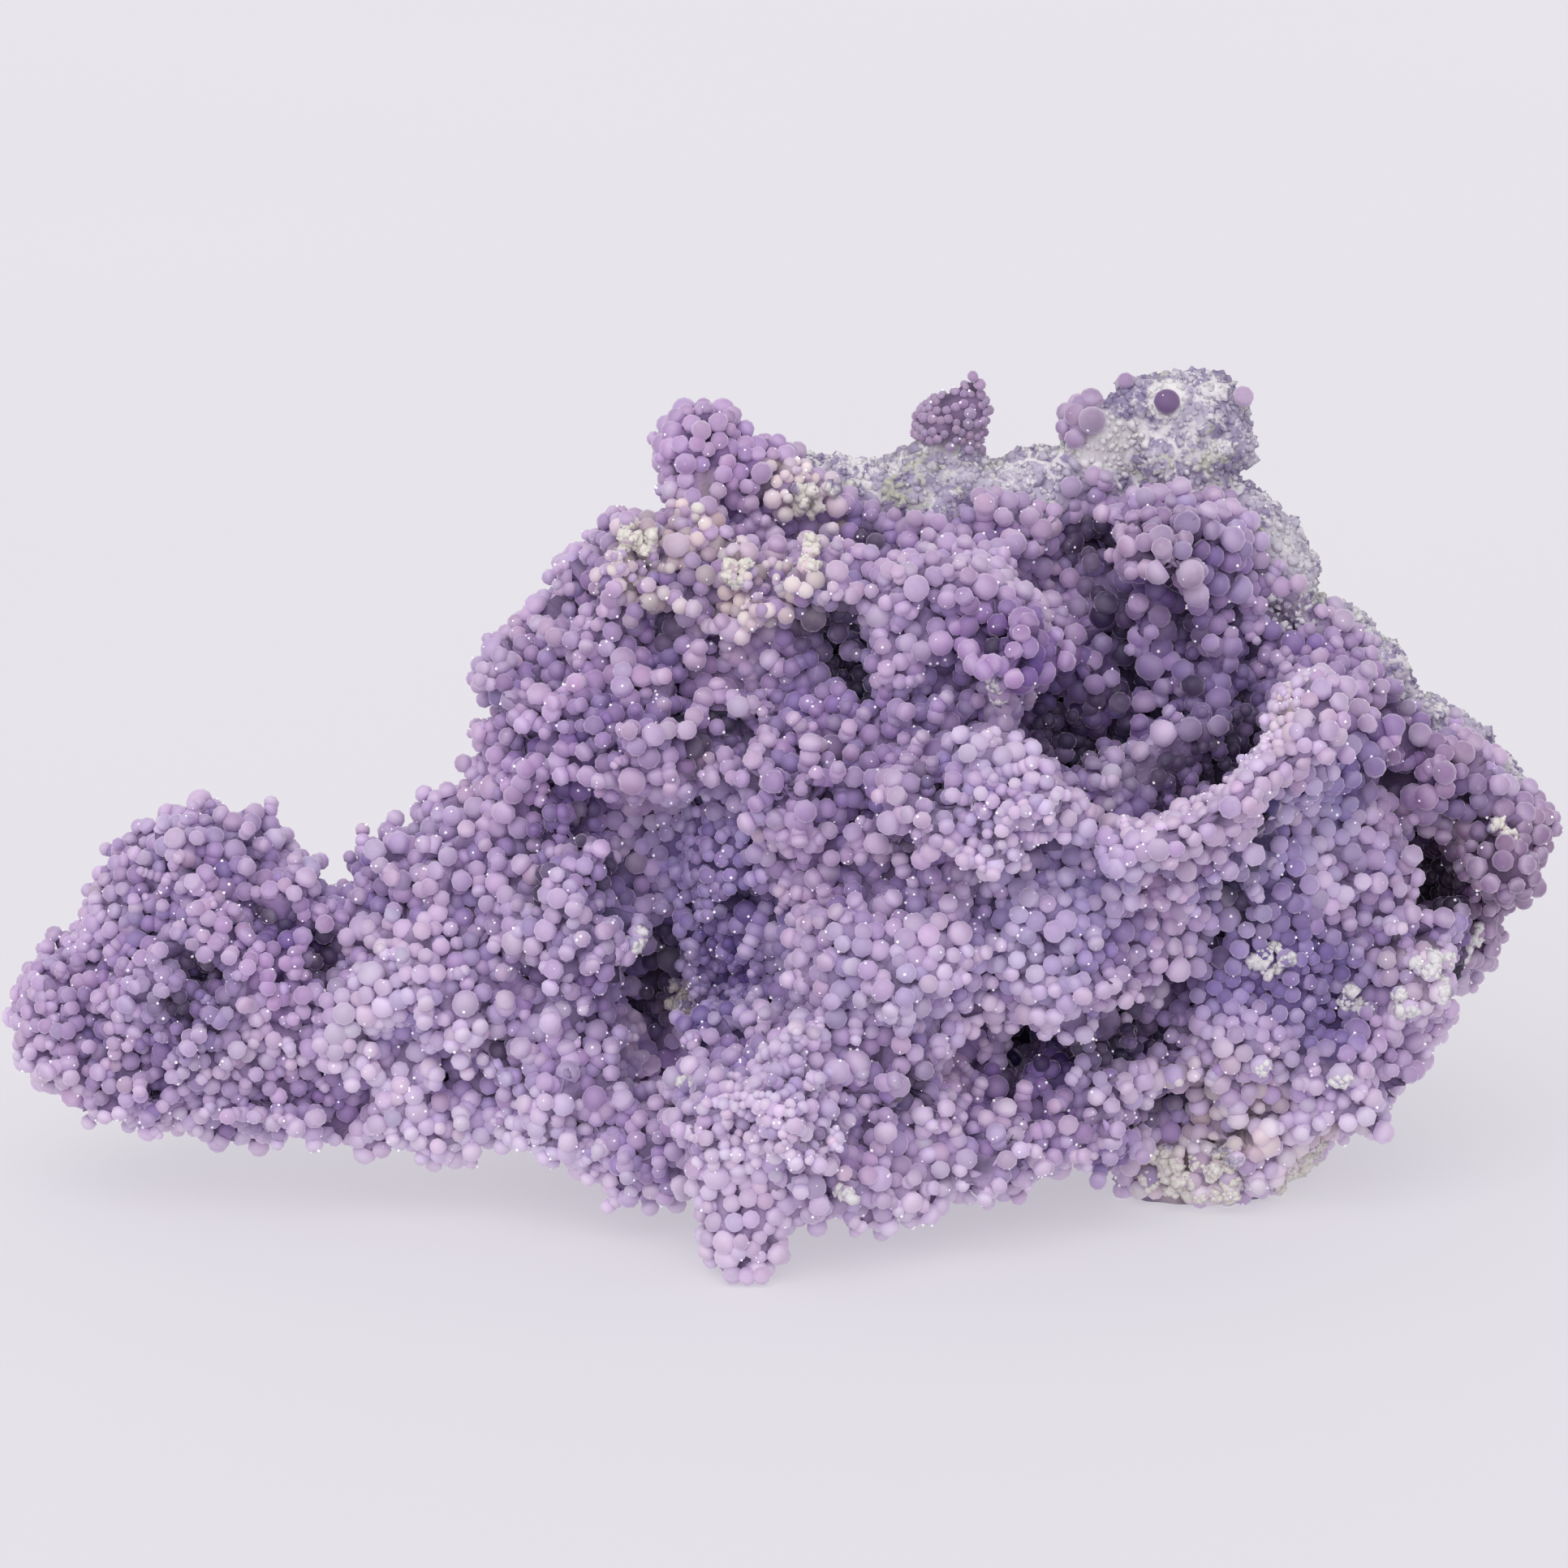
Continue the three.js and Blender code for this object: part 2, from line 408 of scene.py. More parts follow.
THIN = (
    Patch((-9, 12, 97), (10, 11, 9)),
    Patch((-1, 12, 95), (9, 9, 8)),
    Patch((39, 20, 99), (7, 7, 8)),
    Patch((46, -24, 57), (10, 10, 7)),
    Patch((56, -21, 63), (10, 10, 7)),
    Patch((63, -16, 71), (8, 11, 10)),
    Patch((-5, -33, 5), (9, 10, 9)),
    Patch((-95, 1, 24), (8, 10, 9)),
    Patch((97, 14, 46), (8, 14, 10)),
)
LIP_CREST = (
    (45, -25, 57.6),
    (48.4, -20, 57.6),
    (52.4, -19, 59),
    (54.4, -20, 60.4),
    (56.4, -21, 61.9),
    (58, -19, 63.4),
    (59.6, -17, 65.2),
    (61, -17, 67.6),
    (62.4, -16, 70.2),
    (63.5, -13, 73),
)
CREAM = (
    spot(-17, -6, 87, 9),
    spot(-12, -1, 91, 7),
    spot(-13, 1, 26, 3),
    spot(-4, -9, 84, 9),
    spot(4, 6, 92, 7),
    spot(2, -10, 88, 6),
    spot(57, -12, 11, 9, 0.9),
    spot(53, -15, 19, 6, 0.7),
    spot(61, -17, 68.5, 3.5),
    spot(63, -14, 72, 3, 0.8),
    spot(52, -8, 4, 7),
    spot(70, -3, 6, 7),
    spot(82, -9, 33, 6, 0.5),
)
PALE = (
    *(spot(*place, 3.5) for place in LIP_CREST),
    Patch((-45, -16, 26), (14, 16, 14), 0.8),
    spot(17, -33, 38, 10, 0.7),
    spot(18, -27, 9, 9, 0.5),
    spot(44, -8.5, 56, 5, 0.9),
    spot(43, -1, 62, 3.5, 0.6),
    spot(47, -4, 61, 4, 0.6),
    spot(67.3, -9.3, 52, 4, 0.9),
    spot(69.4, -9.4, 47.7, 4, 0.9),
    spot(71.5, -10, 44, 4, 0.9),
    spot(76, -9, 40, 4, 0.7),
    spot(81, -10, 33, 7, 0.9),
    spot(56, -14, 17, 11),
    spot(70, -10, 13, 8, 0.7),
    spot(62, -14, 19, 7, 0.6),
    spot(49.5, -4, 83, 6, 0.6),
    spot(61.3, -4, 80, 6, 0.6),
    spot(29.5, -6, 88, 7, 0.5),
    spot(28, -32, 57, 10),
    spot(26, -30, 65, 9, 0.9),
    spot(-2, -41, 26, 15),
    spot(-5, -36, 6, 9, 0.4),
    spot(-1, -36, 33, 8),
    Patch((-33, -14, 13), (15, 17, 9)),
    spot(-42, -13, 20, 13, 0.9),
    spot(-33, -21, 22, 12, 0.9),
    spot(24, -29, 35, 9, 0.7),
    spot(24, -27, 17, 8, 0.6),
    spot(41, -20, 22, 7, 0.6),
)
BLUE = (
    spot(24, -30, 66, 10),
    spot(14, -32, 41, 12, 0.8),
    spot(24, -29, 35, 11, 0.8),
    spot(34, -26, 46, 11, 0.8),
    spot(60, -16, 47, 9, 0.9),
    spot(70, -9, 56, 9),
    spot(58, -17, 40, 9, 0.7),
    spot(-11, -12, 48, 11, 0.8),
    spot(-7, -12, 36, 10, 0.8),
)
GRAPE = (
    spot(-9, 10, 98, 9, 0.8),
    spot(29, -17, 78, 10, 0.9),
    Patch((46, -2, 74), (14, 12, 8), 0.8),
    spot(82, -2, 58, 9, 0.6),
    spot(78, -6, 20, 8, 0.6),
    spot(-68, -8, 38, 8, 0.6),
    spot(-28, -6, 60, 10, 0.5),
    spot(-60, -10, 34, 8, 0.8),
    spot(-23, -8, 74, 10, 0.4),
    Patch((-86, -6, 20), (15, 16, 11), 0.3),
)
# Deeper blue-violet in the basin, the cave, the recess and the furrows: partly the stone's own hue,
# partly painted shade where these lie deep.
INDIGO = (
    Patch((64, -12, 31), (12, 12, 9)),
    Patch((73.4, -8.5, 56), (6, 9, 5), 0.8),
    Patch((66, -12, 43), (5, 9, 8), 0.7),
    Patch((48, 2, 68), (15, 15, 8), 0.4),
    Patch((-10, -10, 45), (8, 12, 8), 0.8),
    Patch((-9.5, -5, 32), (6.5, 14, 11), 0.9),
    Patch((88, 5, 38), (7, 12, 10), 0.6),
    Patch((36, -14, 24), (10, 12, 5), 0.7),
    Patch((60, -12, 24), (9, 10, 4), 0.7),
    Patch((-76, -16, 31), (9, 10, 9), 0.3),
    Patch((58, 2, 86), (6, 8, 5), 0.4),
)
PLUM = (
    # The far right side: its own plum colour, and darker as painted shade.
    spot(92, 12, 38, 14),
    spot(86, 0, 49, 8, 0.5),
    Patch((22, 22, 101), (8, 8, 10), 0.7),
    Patch((39, 20, 100), (6, 6, 7), 0.5),
    spot(46, -1, 88, 9, 0.5),
    spot(84, 1, 56, 9, 0.5),
    spot(49.3, 17, 101.3, 2.4, 0.8),
)
LARGE = (
    spot(46, 2, 72, 12),
    spot(44, -4, 76, 7),
    spot(29, -17, 78, 9),
    spot(56, -2, 81, 10),
    spot(75, -8, 64, 9),
    spot(84, 1, 56, 8, 0.7),
    spot(93, 4, 51, 7, 0.5),
    spot(38.6, 20, 99, 4, 0.5),
)
FINE = (
    *(spot(*place, 3.0) for place in LIP_CREST),
    Patch((-80, -4, 28), (22, 16, 20), 0.3),
    spot(44, -8.5, 56, 4, 0.7),
    spot(28, -32, 57, 9, 0.6),
    spot(-2, -41, 26, 11, 0.7),
    spot(-17, -6, 87, 5),
    spot(-13, -2, 91, 4),
    spot(-4, -9, 83, 4),
    spot(4, 7, 92, 5),
    spot(22, 22, 101, 9, 1.3),
    spot(-11, -10, 47, 8, 0.6),
    spot(-8, -8, 33, 7, 0.6),
    spot(64, -12, 32, 8, 0.3),
)
LONE = (
    (38.3, 19.5, 100.4, 1.4, 1.0),
    (40.2, 20.0, 100.2, 1.45, 1.0),
    (37.2, 19.5, 98.5, 1.15, 2.0),
    (38.6, 19.0, 97.6, 1.7, 3.0),
    (44.1, 20.0, 103.4, 1.15, 2.0),
    (59.3, 20.2, 101.3, 1.4, 2.0),
    (49.3, 17.0, 101.3, 1.65, 4.6),
    (-6.2, -35.7, 1.4, 1.25, 1.0),
    (-4.4, -35.9, 1.3, 1.2, 1.0),
    (-2.6, -36.0, 1.4, 1.25, 1.0),
    (25.4, 20.5, 102.8, 0.85, 1.0),
    (24.5, 20.3, 103.9, 0.8, 1.0),
)


# Where the back, the sole and the islands of spherules on them fade in

ISLAND_FADE = (0.56, 0.64)
BACK_FADE = (20, 27)
BACK_RAGGEDNESS = 16
SOLE_FADE = (4, 1)
SOLE_FRONT_FADE = (-6, 6)
LOBE_FADE = (-62, -52)


@dataclass(frozen=True)
class Grounds:
    """What the stone is like at given points, as weights from 0 to 1."""

    rock: Array
    gap: Array
    calm: Array
    raised: Array
    thin: Array
    cream: Array
    pale: Array
    blue: Array
    grape: Array
    indigo: Array
    plum: Array
    large: Array
    fine: Array
    relief: Array

    @classmethod
    def at(cls, points: Array) -> "Grounds":
        """Reads every group of patches.

        The back and the sole are rock too, apart from islands of spherules and the left lobe,
        which spherules close round.

        Args:
            points: Rows of x, y, z.

        Returns:
            The weights at those points.
        """
        x, y, z = points.T
        ragged = Field(Seed.RAGGED).swell(points, 9, 3)
        islands = smooth_step(*ISLAND_FADE, Field(Seed.ISLANDS).swell(points, 26, 2))
        behind = smooth_step(*BACK_FADE, y + BACK_RAGGEDNESS * (ragged - 0.5)) * (1 - islands)
        under = smooth_step(*SOLE_FADE, z) * smooth_step(*SOLE_FRONT_FADE, y)
        rock = np.maximum.reduce([strongest(ROCK, points, ragged), behind, under * (1 - islands)])
        rock *= smooth_step(*LOBE_FADE, x)
        rock *= 1 - strongest(GROWTHS, points, ragged)
        groups = (GAPS, CALM, RAISED, THIN, CREAM, PALE, BLUE, GRAPE, INDIGO, PLUM, LARGE, FINE)
        weights = (strongest(group, points, ragged) for group in (*groups, RELIEF))
        return cls(rock, *weights)


# Meshes


def fetch(data: bpy.types.bpy_prop_collection, name: str, width: int, kind: type = float) -> Array:
    """One attribute of every item, as rows.

    Args:
        data: The vertices, triangles or loops of a mesh.
        name: The attribute's name.
        width: How many numbers it has for an item.
        kind: The type of the numbers.

    Returns:
        An array of that many columns.
    """
    flat = np.zeros(len(data) * width, np.float32 if kind is float else np.int32)
    data.foreach_get(name, flat)
    return flat.reshape(-1, width).astype(kind)


@dataclass(frozen=True)
class Skin:
    """A triangulated surface, and at each of its points the room that spherules have above it."""

    points: Array
    normals: Array
    triangles: Array
    sink: Array

    def scatter(self, count: int, rng: np.random.Generator) -> tuple[Array, Array, Array]:
        """Random places spread evenly over the area, by two random shares of each triangle's sides.

        Args:
            count: How many places.
            rng: The source of the random numbers.

        Returns:
            The points, their outward directions and the room above them.
        """
        a, b, c = (self.points[self.triangles[:, k]] for k in range(3))
        area = np.linalg.norm(np.cross(b - a, c - a), axis=1)
        chosen = self.triangles[rng.choice(len(area), count, p=area / area.sum())]
        u, v = rng.random(count), rng.random(count)
        u, v = np.where(u + v > 1, 1 - u, u), np.where(u + v > 1, 1 - v, v)
        shares = np.stack([1 - u - v, u, v], axis=1)
        place = np.einsum("nk,nkd->nd", shares, self.points[chosen])
        outward = unit(np.einsum("nk,nkd->nd", shares, self.normals[chosen]))
        return place, outward, np.einsum("nk,nk->n", shares, self.sink[chosen])


def hull(points: Array) -> tuple[Array, Array]:
    """The convex hull of some points.

    Args:
        points: Rows of x, y, z.

    Returns:
        Its points, and its triangles as rows of three point numbers.
    """
    form = bmesh.new()
    for point in points:
        form.verts.new(point)
    made = bmesh.ops.convex_hull(form, input=form.verts)
    bmesh.ops.delete(form, geom=made["geom_interior"], context="VERTS")
    bmesh.ops.triangulate(form, faces=form.faces)
    bmesh.ops.recalc_face_normals(form, faces=form.faces)
    form.verts.index_update()
    corners = np.array([vert.co[:] for vert in form.verts])
    faces = np.array([[vert.index for vert in face.verts] for face in form.faces])
    form.free()
    return corners, faces


def new_mesh(name: str, points: Array, faces: Array, smooth: bool = True) -> bpy.types.Mesh:
    """A mesh.

    Args:
        name: The mesh's name.
        points: Rows of x, y, z in millimetres.
        faces: Rows of three point numbers, counter-clockwise from outside.
        smooth: Whether its faces shade into each other.

    Returns:
        The mesh, in metres.
    """
    mesh = bpy.data.meshes.new(name)
    mesh.vertices.add(len(points))
    mesh.vertices.foreach_set("co", (points * MM).astype(np.float32).ravel())
    mesh.loops.add(faces.size)
    mesh.loops.foreach_set("vertex_index", faces.astype(np.int32).ravel())
    mesh.polygons.add(len(faces))
    mesh.polygons.foreach_set("loop_start", np.arange(0, faces.size, 3, dtype=np.int32))
    mesh.update(calc_edges=True)
    if smooth:
        mesh.shade_smooth()
    return mesh


def add_numbers(mesh: bpy.types.Mesh, name: str, values: Array) -> None:
    """Stores one number at each point of a mesh."""
    mesh.attributes.new(name, "FLOAT", "POINT").data.foreach_set(
        "value", values.astype(np.float32).ravel()
    )


def add_colours(mesh: bpy.types.Mesh, name: str, colours: Array) -> None:
    """Stores one linear colour at each point of a mesh."""
    rows = np.concatenate([colours, np.ones((len(colours), 1))], axis=1)
    mesh.attributes.new(name, "FLOAT_COLOR", "POINT").data.foreach_set(
        "color", rows.astype(np.float32).ravel()
    )


def add_piece(name: str, mesh: bpy.types.Mesh, finish: bpy.types.Material) -> bpy.types.Object:
    """Puts a mesh into the scene as a piece of the stone.

    Args:
        name: The piece's name.
        mesh: Its mesh, at its place in the row frame.
        finish: Its material.

    Returns:
        The piece, riding on the stone's body.
    """
    mesh.materials.append(finish)
    piece = bpy.data.objects.new(name, mesh)
    bpy.context.scene.collection.objects.link(piece)
    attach(piece, BODY)
    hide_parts(NODE)
    return piece


class Batch:
    """Many copies of small forms, gathered for one mesh."""

    def __init__(self) -> None:
        """Starts with none."""
        self.points: list[Array] = []
        self.faces: list[Array] = []
        self.tones: list[Array] = []
        self.normals: list[Array] = []
        self.count = 0

    def add(self, points: Array, faces: Array, tones: Array, normals: Array) -> None:
        """Adds copies of one form.

        Args:
            points: The corners of each copy, as copies by corners by three.
            faces: The triangles of the form.
            tones: The linear colour of each corner, in the same shape as points.
            normals: Which way the surface faces at each corner, in the same shape.
        """
        copies, size = points.shape[:2]
        steps = self.count + np.arange(copies)[:, None, None] * size
        self.points.append(points.reshape(-1, 3))
        self.faces.append((faces[None] + steps).reshape(-1, 3))
        self.tones.append(tones.reshape(-1, 3))
        self.normals.append(normals.reshape(-1, 3))
        self.count += copies * size

    def mesh(self, name: str, smooth: bool = True) -> bpy.types.Mesh:
        """The mesh of all of them, held above the floor.

        Args:
            name: The mesh's name.
            smooth: Whether it shades by the given normals, or each face flat.

        Returns:
            The mesh, with its tone attribute.
        """
        points = np.concatenate(self.points)
        points[:, 2] = np.maximum(points[:, 2], 0)
        mesh = new_mesh(name, points, np.concatenate(self.faces), smooth)
        add_colours(mesh, "tone", np.concatenate(self.tones))
        if smooth:
            mesh.normals_split_custom_set_from_vertices(unit(np.concatenate(self.normals)))
        return mesh


# Shader building


@dataclass(frozen=True)
class Wire:
    """One output socket, with arithmetic on it."""

    shader: "Shader"
    socket: bpy.types.NodeSocket

    def _math(self, operation: str, a: "Wire | float", b: "Wire | float") -> "Wire":
        """A Math node on two values."""
        return self.shader.node("ShaderNodeMath", {"operation": operation}, {0: a, 1: b})

    def __add__(self, other: "Wire | float") -> "Wire":
        """self + other"""
        return self._math("ADD", self, other)

    def __radd__(self, other: float) -> "Wire":
        """other + self"""
        return self._math("ADD", other, self)

    def __sub__(self, other: "Wire | float") -> "Wire":
        """self - other"""
        return self._math("SUBTRACT", self, other)

    def __rsub__(self, other: float) -> "Wire":
        """other - self"""
        return self._math("SUBTRACT", other, self)

    def __mul__(self, other: "Wire | float") -> "Wire":
        """self * other"""
        return self._math("MULTIPLY", self, other)

    def __rmul__(self, other: float) -> "Wire":
        """other * self"""
        return self._math("MULTIPLY", other, self)

    def over(self, low: float, high: float) -> "Wire":
        """A smooth rise from 0 at low to 1 at high, which may be the lower of the two."""
        settings = {"interpolation_type": "SMOOTHSTEP"}
        ends = {"Value": self, "From Min": low, "From Max": high}
        return self.shader.node("ShaderNodeMapRange", settings, ends, "Result")


class Shader:
    """The node tree of one material."""

    def __init__(self, name: str) -> None:
        """Starts an empty material.

        Args:
            name: The material's name.
        """
        self.material = bpy.data.materials.new(name)
        self.material.use_nodes = True
        self.tree = self.material.node_tree
        self.tree.nodes.clear()
        self.place = self.node("ShaderNodeTexCoord", {}, {}, "Object")

    def node(
        self,
        kind: str,
        settings: dict[str, object],
        inputs: "dict[str | int, Wire | float | Sequence[float]]",
        output: str | int = 0,
    ) -> Wire:
        """Adds a node.

        Args:
            kind: The node's type.
            settings: Its own settings, set first.
            inputs: Values or links of its sockets, by name or number.
            output: The socket that is returned.

        Returns:
            That output.
        """
        made = self.tree.nodes.new(kind)
        for key, value in settings.items():
            setattr(made, key, value)
        for key, value in inputs.items():
            if isinstance(value, Wire):
                self.tree.links.new(value.socket, made.inputs[key])
            else:
                made.inputs[key].default_value = value
        return Wire(self, made.outputs[output])

    def mix(self, a: "Wire | Colour", b: "Wire | Colour", share: "Wire | float") -> Wire:
        """Colour a turned towards colour b by a share from 0 to 1."""
        settings = {"data_type": "RGBA", "clamp_factor": True}
        return self.node("ShaderNodeMix", settings, {0: share, 6: a, 7: b}, 2)

    def noise(self, size: float, detail: float = 3.0, roughness: float = 0.6) -> Wire:
        """Noise over space.

        Args:
            size: Width of the largest marks in millimetres.
            detail: How many times finer marks are added.
            roughness: How strong each finer set is.

        Returns:
            A value from 0 to 1.
        """
        inputs = {
            "Vector": self.place,
            "Scale": 1 / (size * MM),
            "Detail": detail,
            "Roughness": roughness,
        }
        return self.node("ShaderNodeTexNoise", {}, inputs, "Fac")

    def specks(self, size: float, radius: float) -> tuple[Wire, Wire]:
        """One round speck in each cell of a random pattern.

        Args:
            size: Width of a cell in millimetres.
            radius: Radius of a speck, as a part of the cell.

        Returns:
            1 inside a speck, and a random number for each cell.
        """
        inputs = {"Vector": self.place, "Scale": 1 / (size * MM)}
        near = self.node("ShaderNodeTexVoronoi", {}, inputs, "Distance")
        tint = self.node("ShaderNodeTexVoronoi", {}, inputs, "Color")
        chance = self.node("ShaderNodeSeparateColor", {}, {"Color": tint}, "Red")
        return near.over(radius, radius * 0.6), chance

    def borders(self, size: float, wander: float) -> Wire:
        """The distance to the border between cells of a random pattern, in cell widths.

        Args:
            size: Width of a cell in millimetres.
            wander: How far noise moves the borders, in millimetres.

        Returns:
            0 on a border.
        """
        noise = {"Vector": self.place, "Scale": 1 / (size * MM), "Detail": 3.0}
        drift = self.node("ShaderNodeTexNoise", {}, noise, "Color")
        moved = self.node(
            "ShaderNodeVectorMath",
            {"operation": "MULTIPLY_ADD"},
            {0: drift, 1: (wander * MM,) * 3, 2: self.place},
        )
        inputs = {"Vector": moved, "Scale": 1 / (size * MM)}
        settings = {"feature": "DISTANCE_TO_EDGE"}
        return self.node("ShaderNodeTexVoronoi", settings, inputs, "Distance")

    def attribute(self, name: str, output: str) -> Wire:
        """A value stored on the mesh."""
        return self.node("ShaderNodeAttribute", {"attribute_name": name}, {}, output)

    def bump(self, height: Wire, depth: float, strength: float = 1.0) -> Wire:
        """A normal tilted by a height, at most depth millimetres deep."""
        inputs = {"Height": height, "Distance": depth * MM, "Strength": strength}
        return self.node("ShaderNodeBump", {}, inputs, "Normal")

    def finish(self, inputs: "dict[str | int, Wire | float | Sequence[float]]") -> bpy.types.Material:
        """Ends the material with one Principled surface.

        Args:
            inputs: Values or links of the surface's sockets.

        Returns:
            The material.
        """
        surface = self.node("ShaderNodeBsdfPrincipled", {}, inputs, "BSDF")
        output = self.tree.nodes.new("ShaderNodeOutputMaterial")
        self.tree.links.new(surface.socket, output.inputs["Surface"])
        return self.material


# Finishes


class Hue(Enum):
    """Chalcedony colours at the tips and deep between them, the deep ones partly painted shade."""

    VIOLET = ("B9A1C2", "9079A9")
    BLUE = ("B5A9D0", "897DB1")
    GRAPE = ("AB89BA", "6E5390")
    INDIGO = ("8C77B2", "54407F")
    PALE = ("CFBDD7", "AC97C1")
    CREAM = ("DDD0CF", "AC98A2")
    PLUM = ("8D7195", "634A70")

    def tip(self) -> Array:
        """The colour of a tip, in linear light."""
        return np.array(linear(self.value[0])[:3])

    def deep(self) -> Array:
        """The colour deep down, partly painted shade, in linear light."""
        return np.array(linear(self.value[1])[:3])


GAP_SHADE = np.array([0.15, 0.14, 0.175])


def chalcedony_colour(
    points: Array, grounds: Grounds, rise: Array, painted_shade: Array, chance: Array
) -> Array:
    """The chalcedony's colour by the ground it grows on, with painted shade deep down and in gaps.

    Args:
        points: Rows of x, y, z.
        grounds: What the stone is like there.
        rise: 0 deep down and 1 out at the tips. Deep down stands for painted shade.
        painted_shade: 1 at the bottom of a gap, where the colour is painted near black as shade.
        chance: A random number from 0 to 1 for each point, for the scattered cream ones.

    Returns:
        Rows of linear red, green and blue.
    """
    blue_drift = Field(Seed.BLUE_DRIFT).swell(points, 24, 2) - 0.5
    grape_drift = Field(Seed.GRAPE_DRIFT).swell(points, 15, 2) - 0.56
    weights = {
        Hue.BLUE: np.clip(grounds.blue + 1.1 * blue_drift - 0.1, 0, 1) * 0.8,
        Hue.GRAPE: np.clip(grounds.grape + 1.4 * grape_drift, 0, 1),
        Hue.INDIGO: grounds.indigo,
        Hue.PALE: grounds.pale * 0.9,
        Hue.CREAM: grounds.cream * smooth_step(0.2, 0.7, chance),
        Hue.PLUM: grounds.plum,
    }
    tip = np.tile(Hue.VIOLET.tip(), (len(points), 1))
    deep = np.tile(Hue.VIOLET.deep(), (len(points), 1))
    for hue, weight in weights.items():
        tip, deep = blend(tip, hue.tip(), weight), blend(deep, hue.deep(), weight)
    # Painted shade: deep down the colour turns deep, and in gaps near black.
    return blend(deep, tip, rise) * (1 - (1 - GAP_SHADE) * painted_shade[:, None])


@dataclass(frozen=True)
class FrostedChalcedony:
    """Spherules with a frosted skin and a dusting of tiny crystals, and painted light on them.

    Each bead's edge is painted paler as a sheen, held back where the colour is deep, so that the
    beads in a gap stay near black. The crystals are white specks painted as glints, and the
    colour glows a little of its own, a painted glow.
    """

    roughness: float = 0.5
    cloud_size: float = 1.6
    cloudiness: float = 0.22
    rim: float = 0.5
    dark_tone: float = 0.03
    light_tone: float = 0.3
    glint_cell: float = 1.5
    glint_radius: float = 0.09
    glint: Colour = linear("FFFFFF")
    glint_share: float = 0.85
    grain: float = 0.5
    grain_depth: float = 0.05
    sheen: float = 1.0
    sheen_roughness: float = 0.3
    glow: float = 0.1

    def build(self) -> bpy.types.Material:
        """Makes the material, which takes its colour from the mesh's tone attribute.

        Returns:
            The material.
        """
        shader = Shader("frosted_chalcedony")
        tone = shader.attribute("tone", "Color")
        cloud = shader.noise(self.cloud_size)
        # Painted glints: white specks where tiny crystals sit, glossier than around them.
        speck, chance = shader.specks(self.glint_cell, self.glint_radius)
        glints = speck * chance.over(0.72, 0.76)
        paler = shader.mix(tone, FROST_AND_PAINTED_LIGHT, cloud.over(0.55, 0.85) * self.cloudiness)
        # Painted sheen: the colour pales towards each bead's edge, less where it is deep.
        facing = shader.node("ShaderNodeLayerWeight", {}, {"Blend": 0.5}, "Facing")
        light = shader.node("ShaderNodeSeparateColor", {}, {"Color": tone}, "Green")
        rim = facing.over(0.35, 1.0) * light.over(self.dark_tone, self.light_tone) * self.rim
        paler = shader.mix(paler, FROST_AND_PAINTED_LIGHT, rim)
        inputs = {
            "Base Color": shader.mix(paler, self.glint, glints * self.glint_share),
            "Roughness": self.roughness + 0.15 * cloud - 0.3 * glints,
            "Normal": shader.bump(shader.noise(self.grain), self.grain_depth, 0.6),
            "Sheen Weight": self.sheen,
            "Sheen Roughness": self.sheen_roughness,
            "Sheen Tint": FROST_AND_PAINTED_LIGHT,
            # Painted glow: the colour glows a little of its own.
            "Emission Color": tone,
            "Emission Strength": self.glow,
        }
        return shader.finish(inputs)


@dataclass(frozen=True)
class HostRock:
    """The crystalline rind, mottled violet, grey, white and green, and chalcedony beside it."""

    grey: Colour = linear("C6BED4")
    violet: Colour = linear("9A8EB2")
    slate: Colour = linear("817996")
    green: Colour = linear("B9C09F")
    white: Colour = linear("F6F3F5")
    cream: Colour = linear("F4EEE4")
    glint: Colour = linear("FFFFFF")
    vein_cell: float = 4.2
    vein_wander: float = 5.5
    vein_share: float = 0.85
    stain_share: float = 0.7
    glint_cell: float = 0.9
    glint_radius: float = 0.2
    relief: float = 0.6

    def build(self) -> bpy.types.Material:
        """Makes the material, which reads from the mesh where the rock is bare, chalky and warm.

        Returns:
            The material.
        """
        shader = Shader("host_rock")
        bare = shader.attribute("bare", "Fac")
        chalk = shader.attribute("chalk", "Fac")
        white = shader.mix(self.white, self.cream, shader.attribute("warm", "Fac"))
        patch = shader.noise(6.0, 4.0, 0.6)
        stain = shader.noise(9.0, 4.0, 0.65)
        fine = shader.noise(2.0, 6.0, 0.75)
        dots = shader.noise(1.1, 3.0, 0.6)
        vein = shader.mix(white, self.green, stain.over(0.5, 0.62) * self.stain_share)
        rock = shader.mix(self.grey, self.violet, patch.over(0.42, 0.54))
        rock = shader.mix(rock, self.slate, dots.over(0.58, 0.7) * 0.5)
        veined = shader.noise(12.0, 3.0).over(0.42, 0.54)
        lines = shader.borders(self.vein_cell, self.vein_wander).over(0.13, 0.04)
        rock = shader.mix(rock, vein, lines * veined * self.vein_share)
        rock = shader.mix(rock, vein, fine.over(0.51, 0.6) * self.vein_share)
        rock = shader.mix(rock, white, chalk.over(0.15, 0.7) * (0.85 + 0.5 * dots))
        # Painted glints: white specks on the bare rock.
        speck, chance = shader.specks(self.glint_cell, self.glint_radius)
        glints = speck * chance.over(0.75, 0.8) * bare
        skin = shader.mix(shader.attribute("tone", "Color"), rock, bare)
        inputs = {
            "Base Color": shader.mix(skin, self.glint, glints),
            "Roughness": 0.5 + 0.3 * fine,
            "Normal": shader.bump(fine + 0.6 * dots, self.relief, 0.9),
        }
        return shader.finish(inputs)


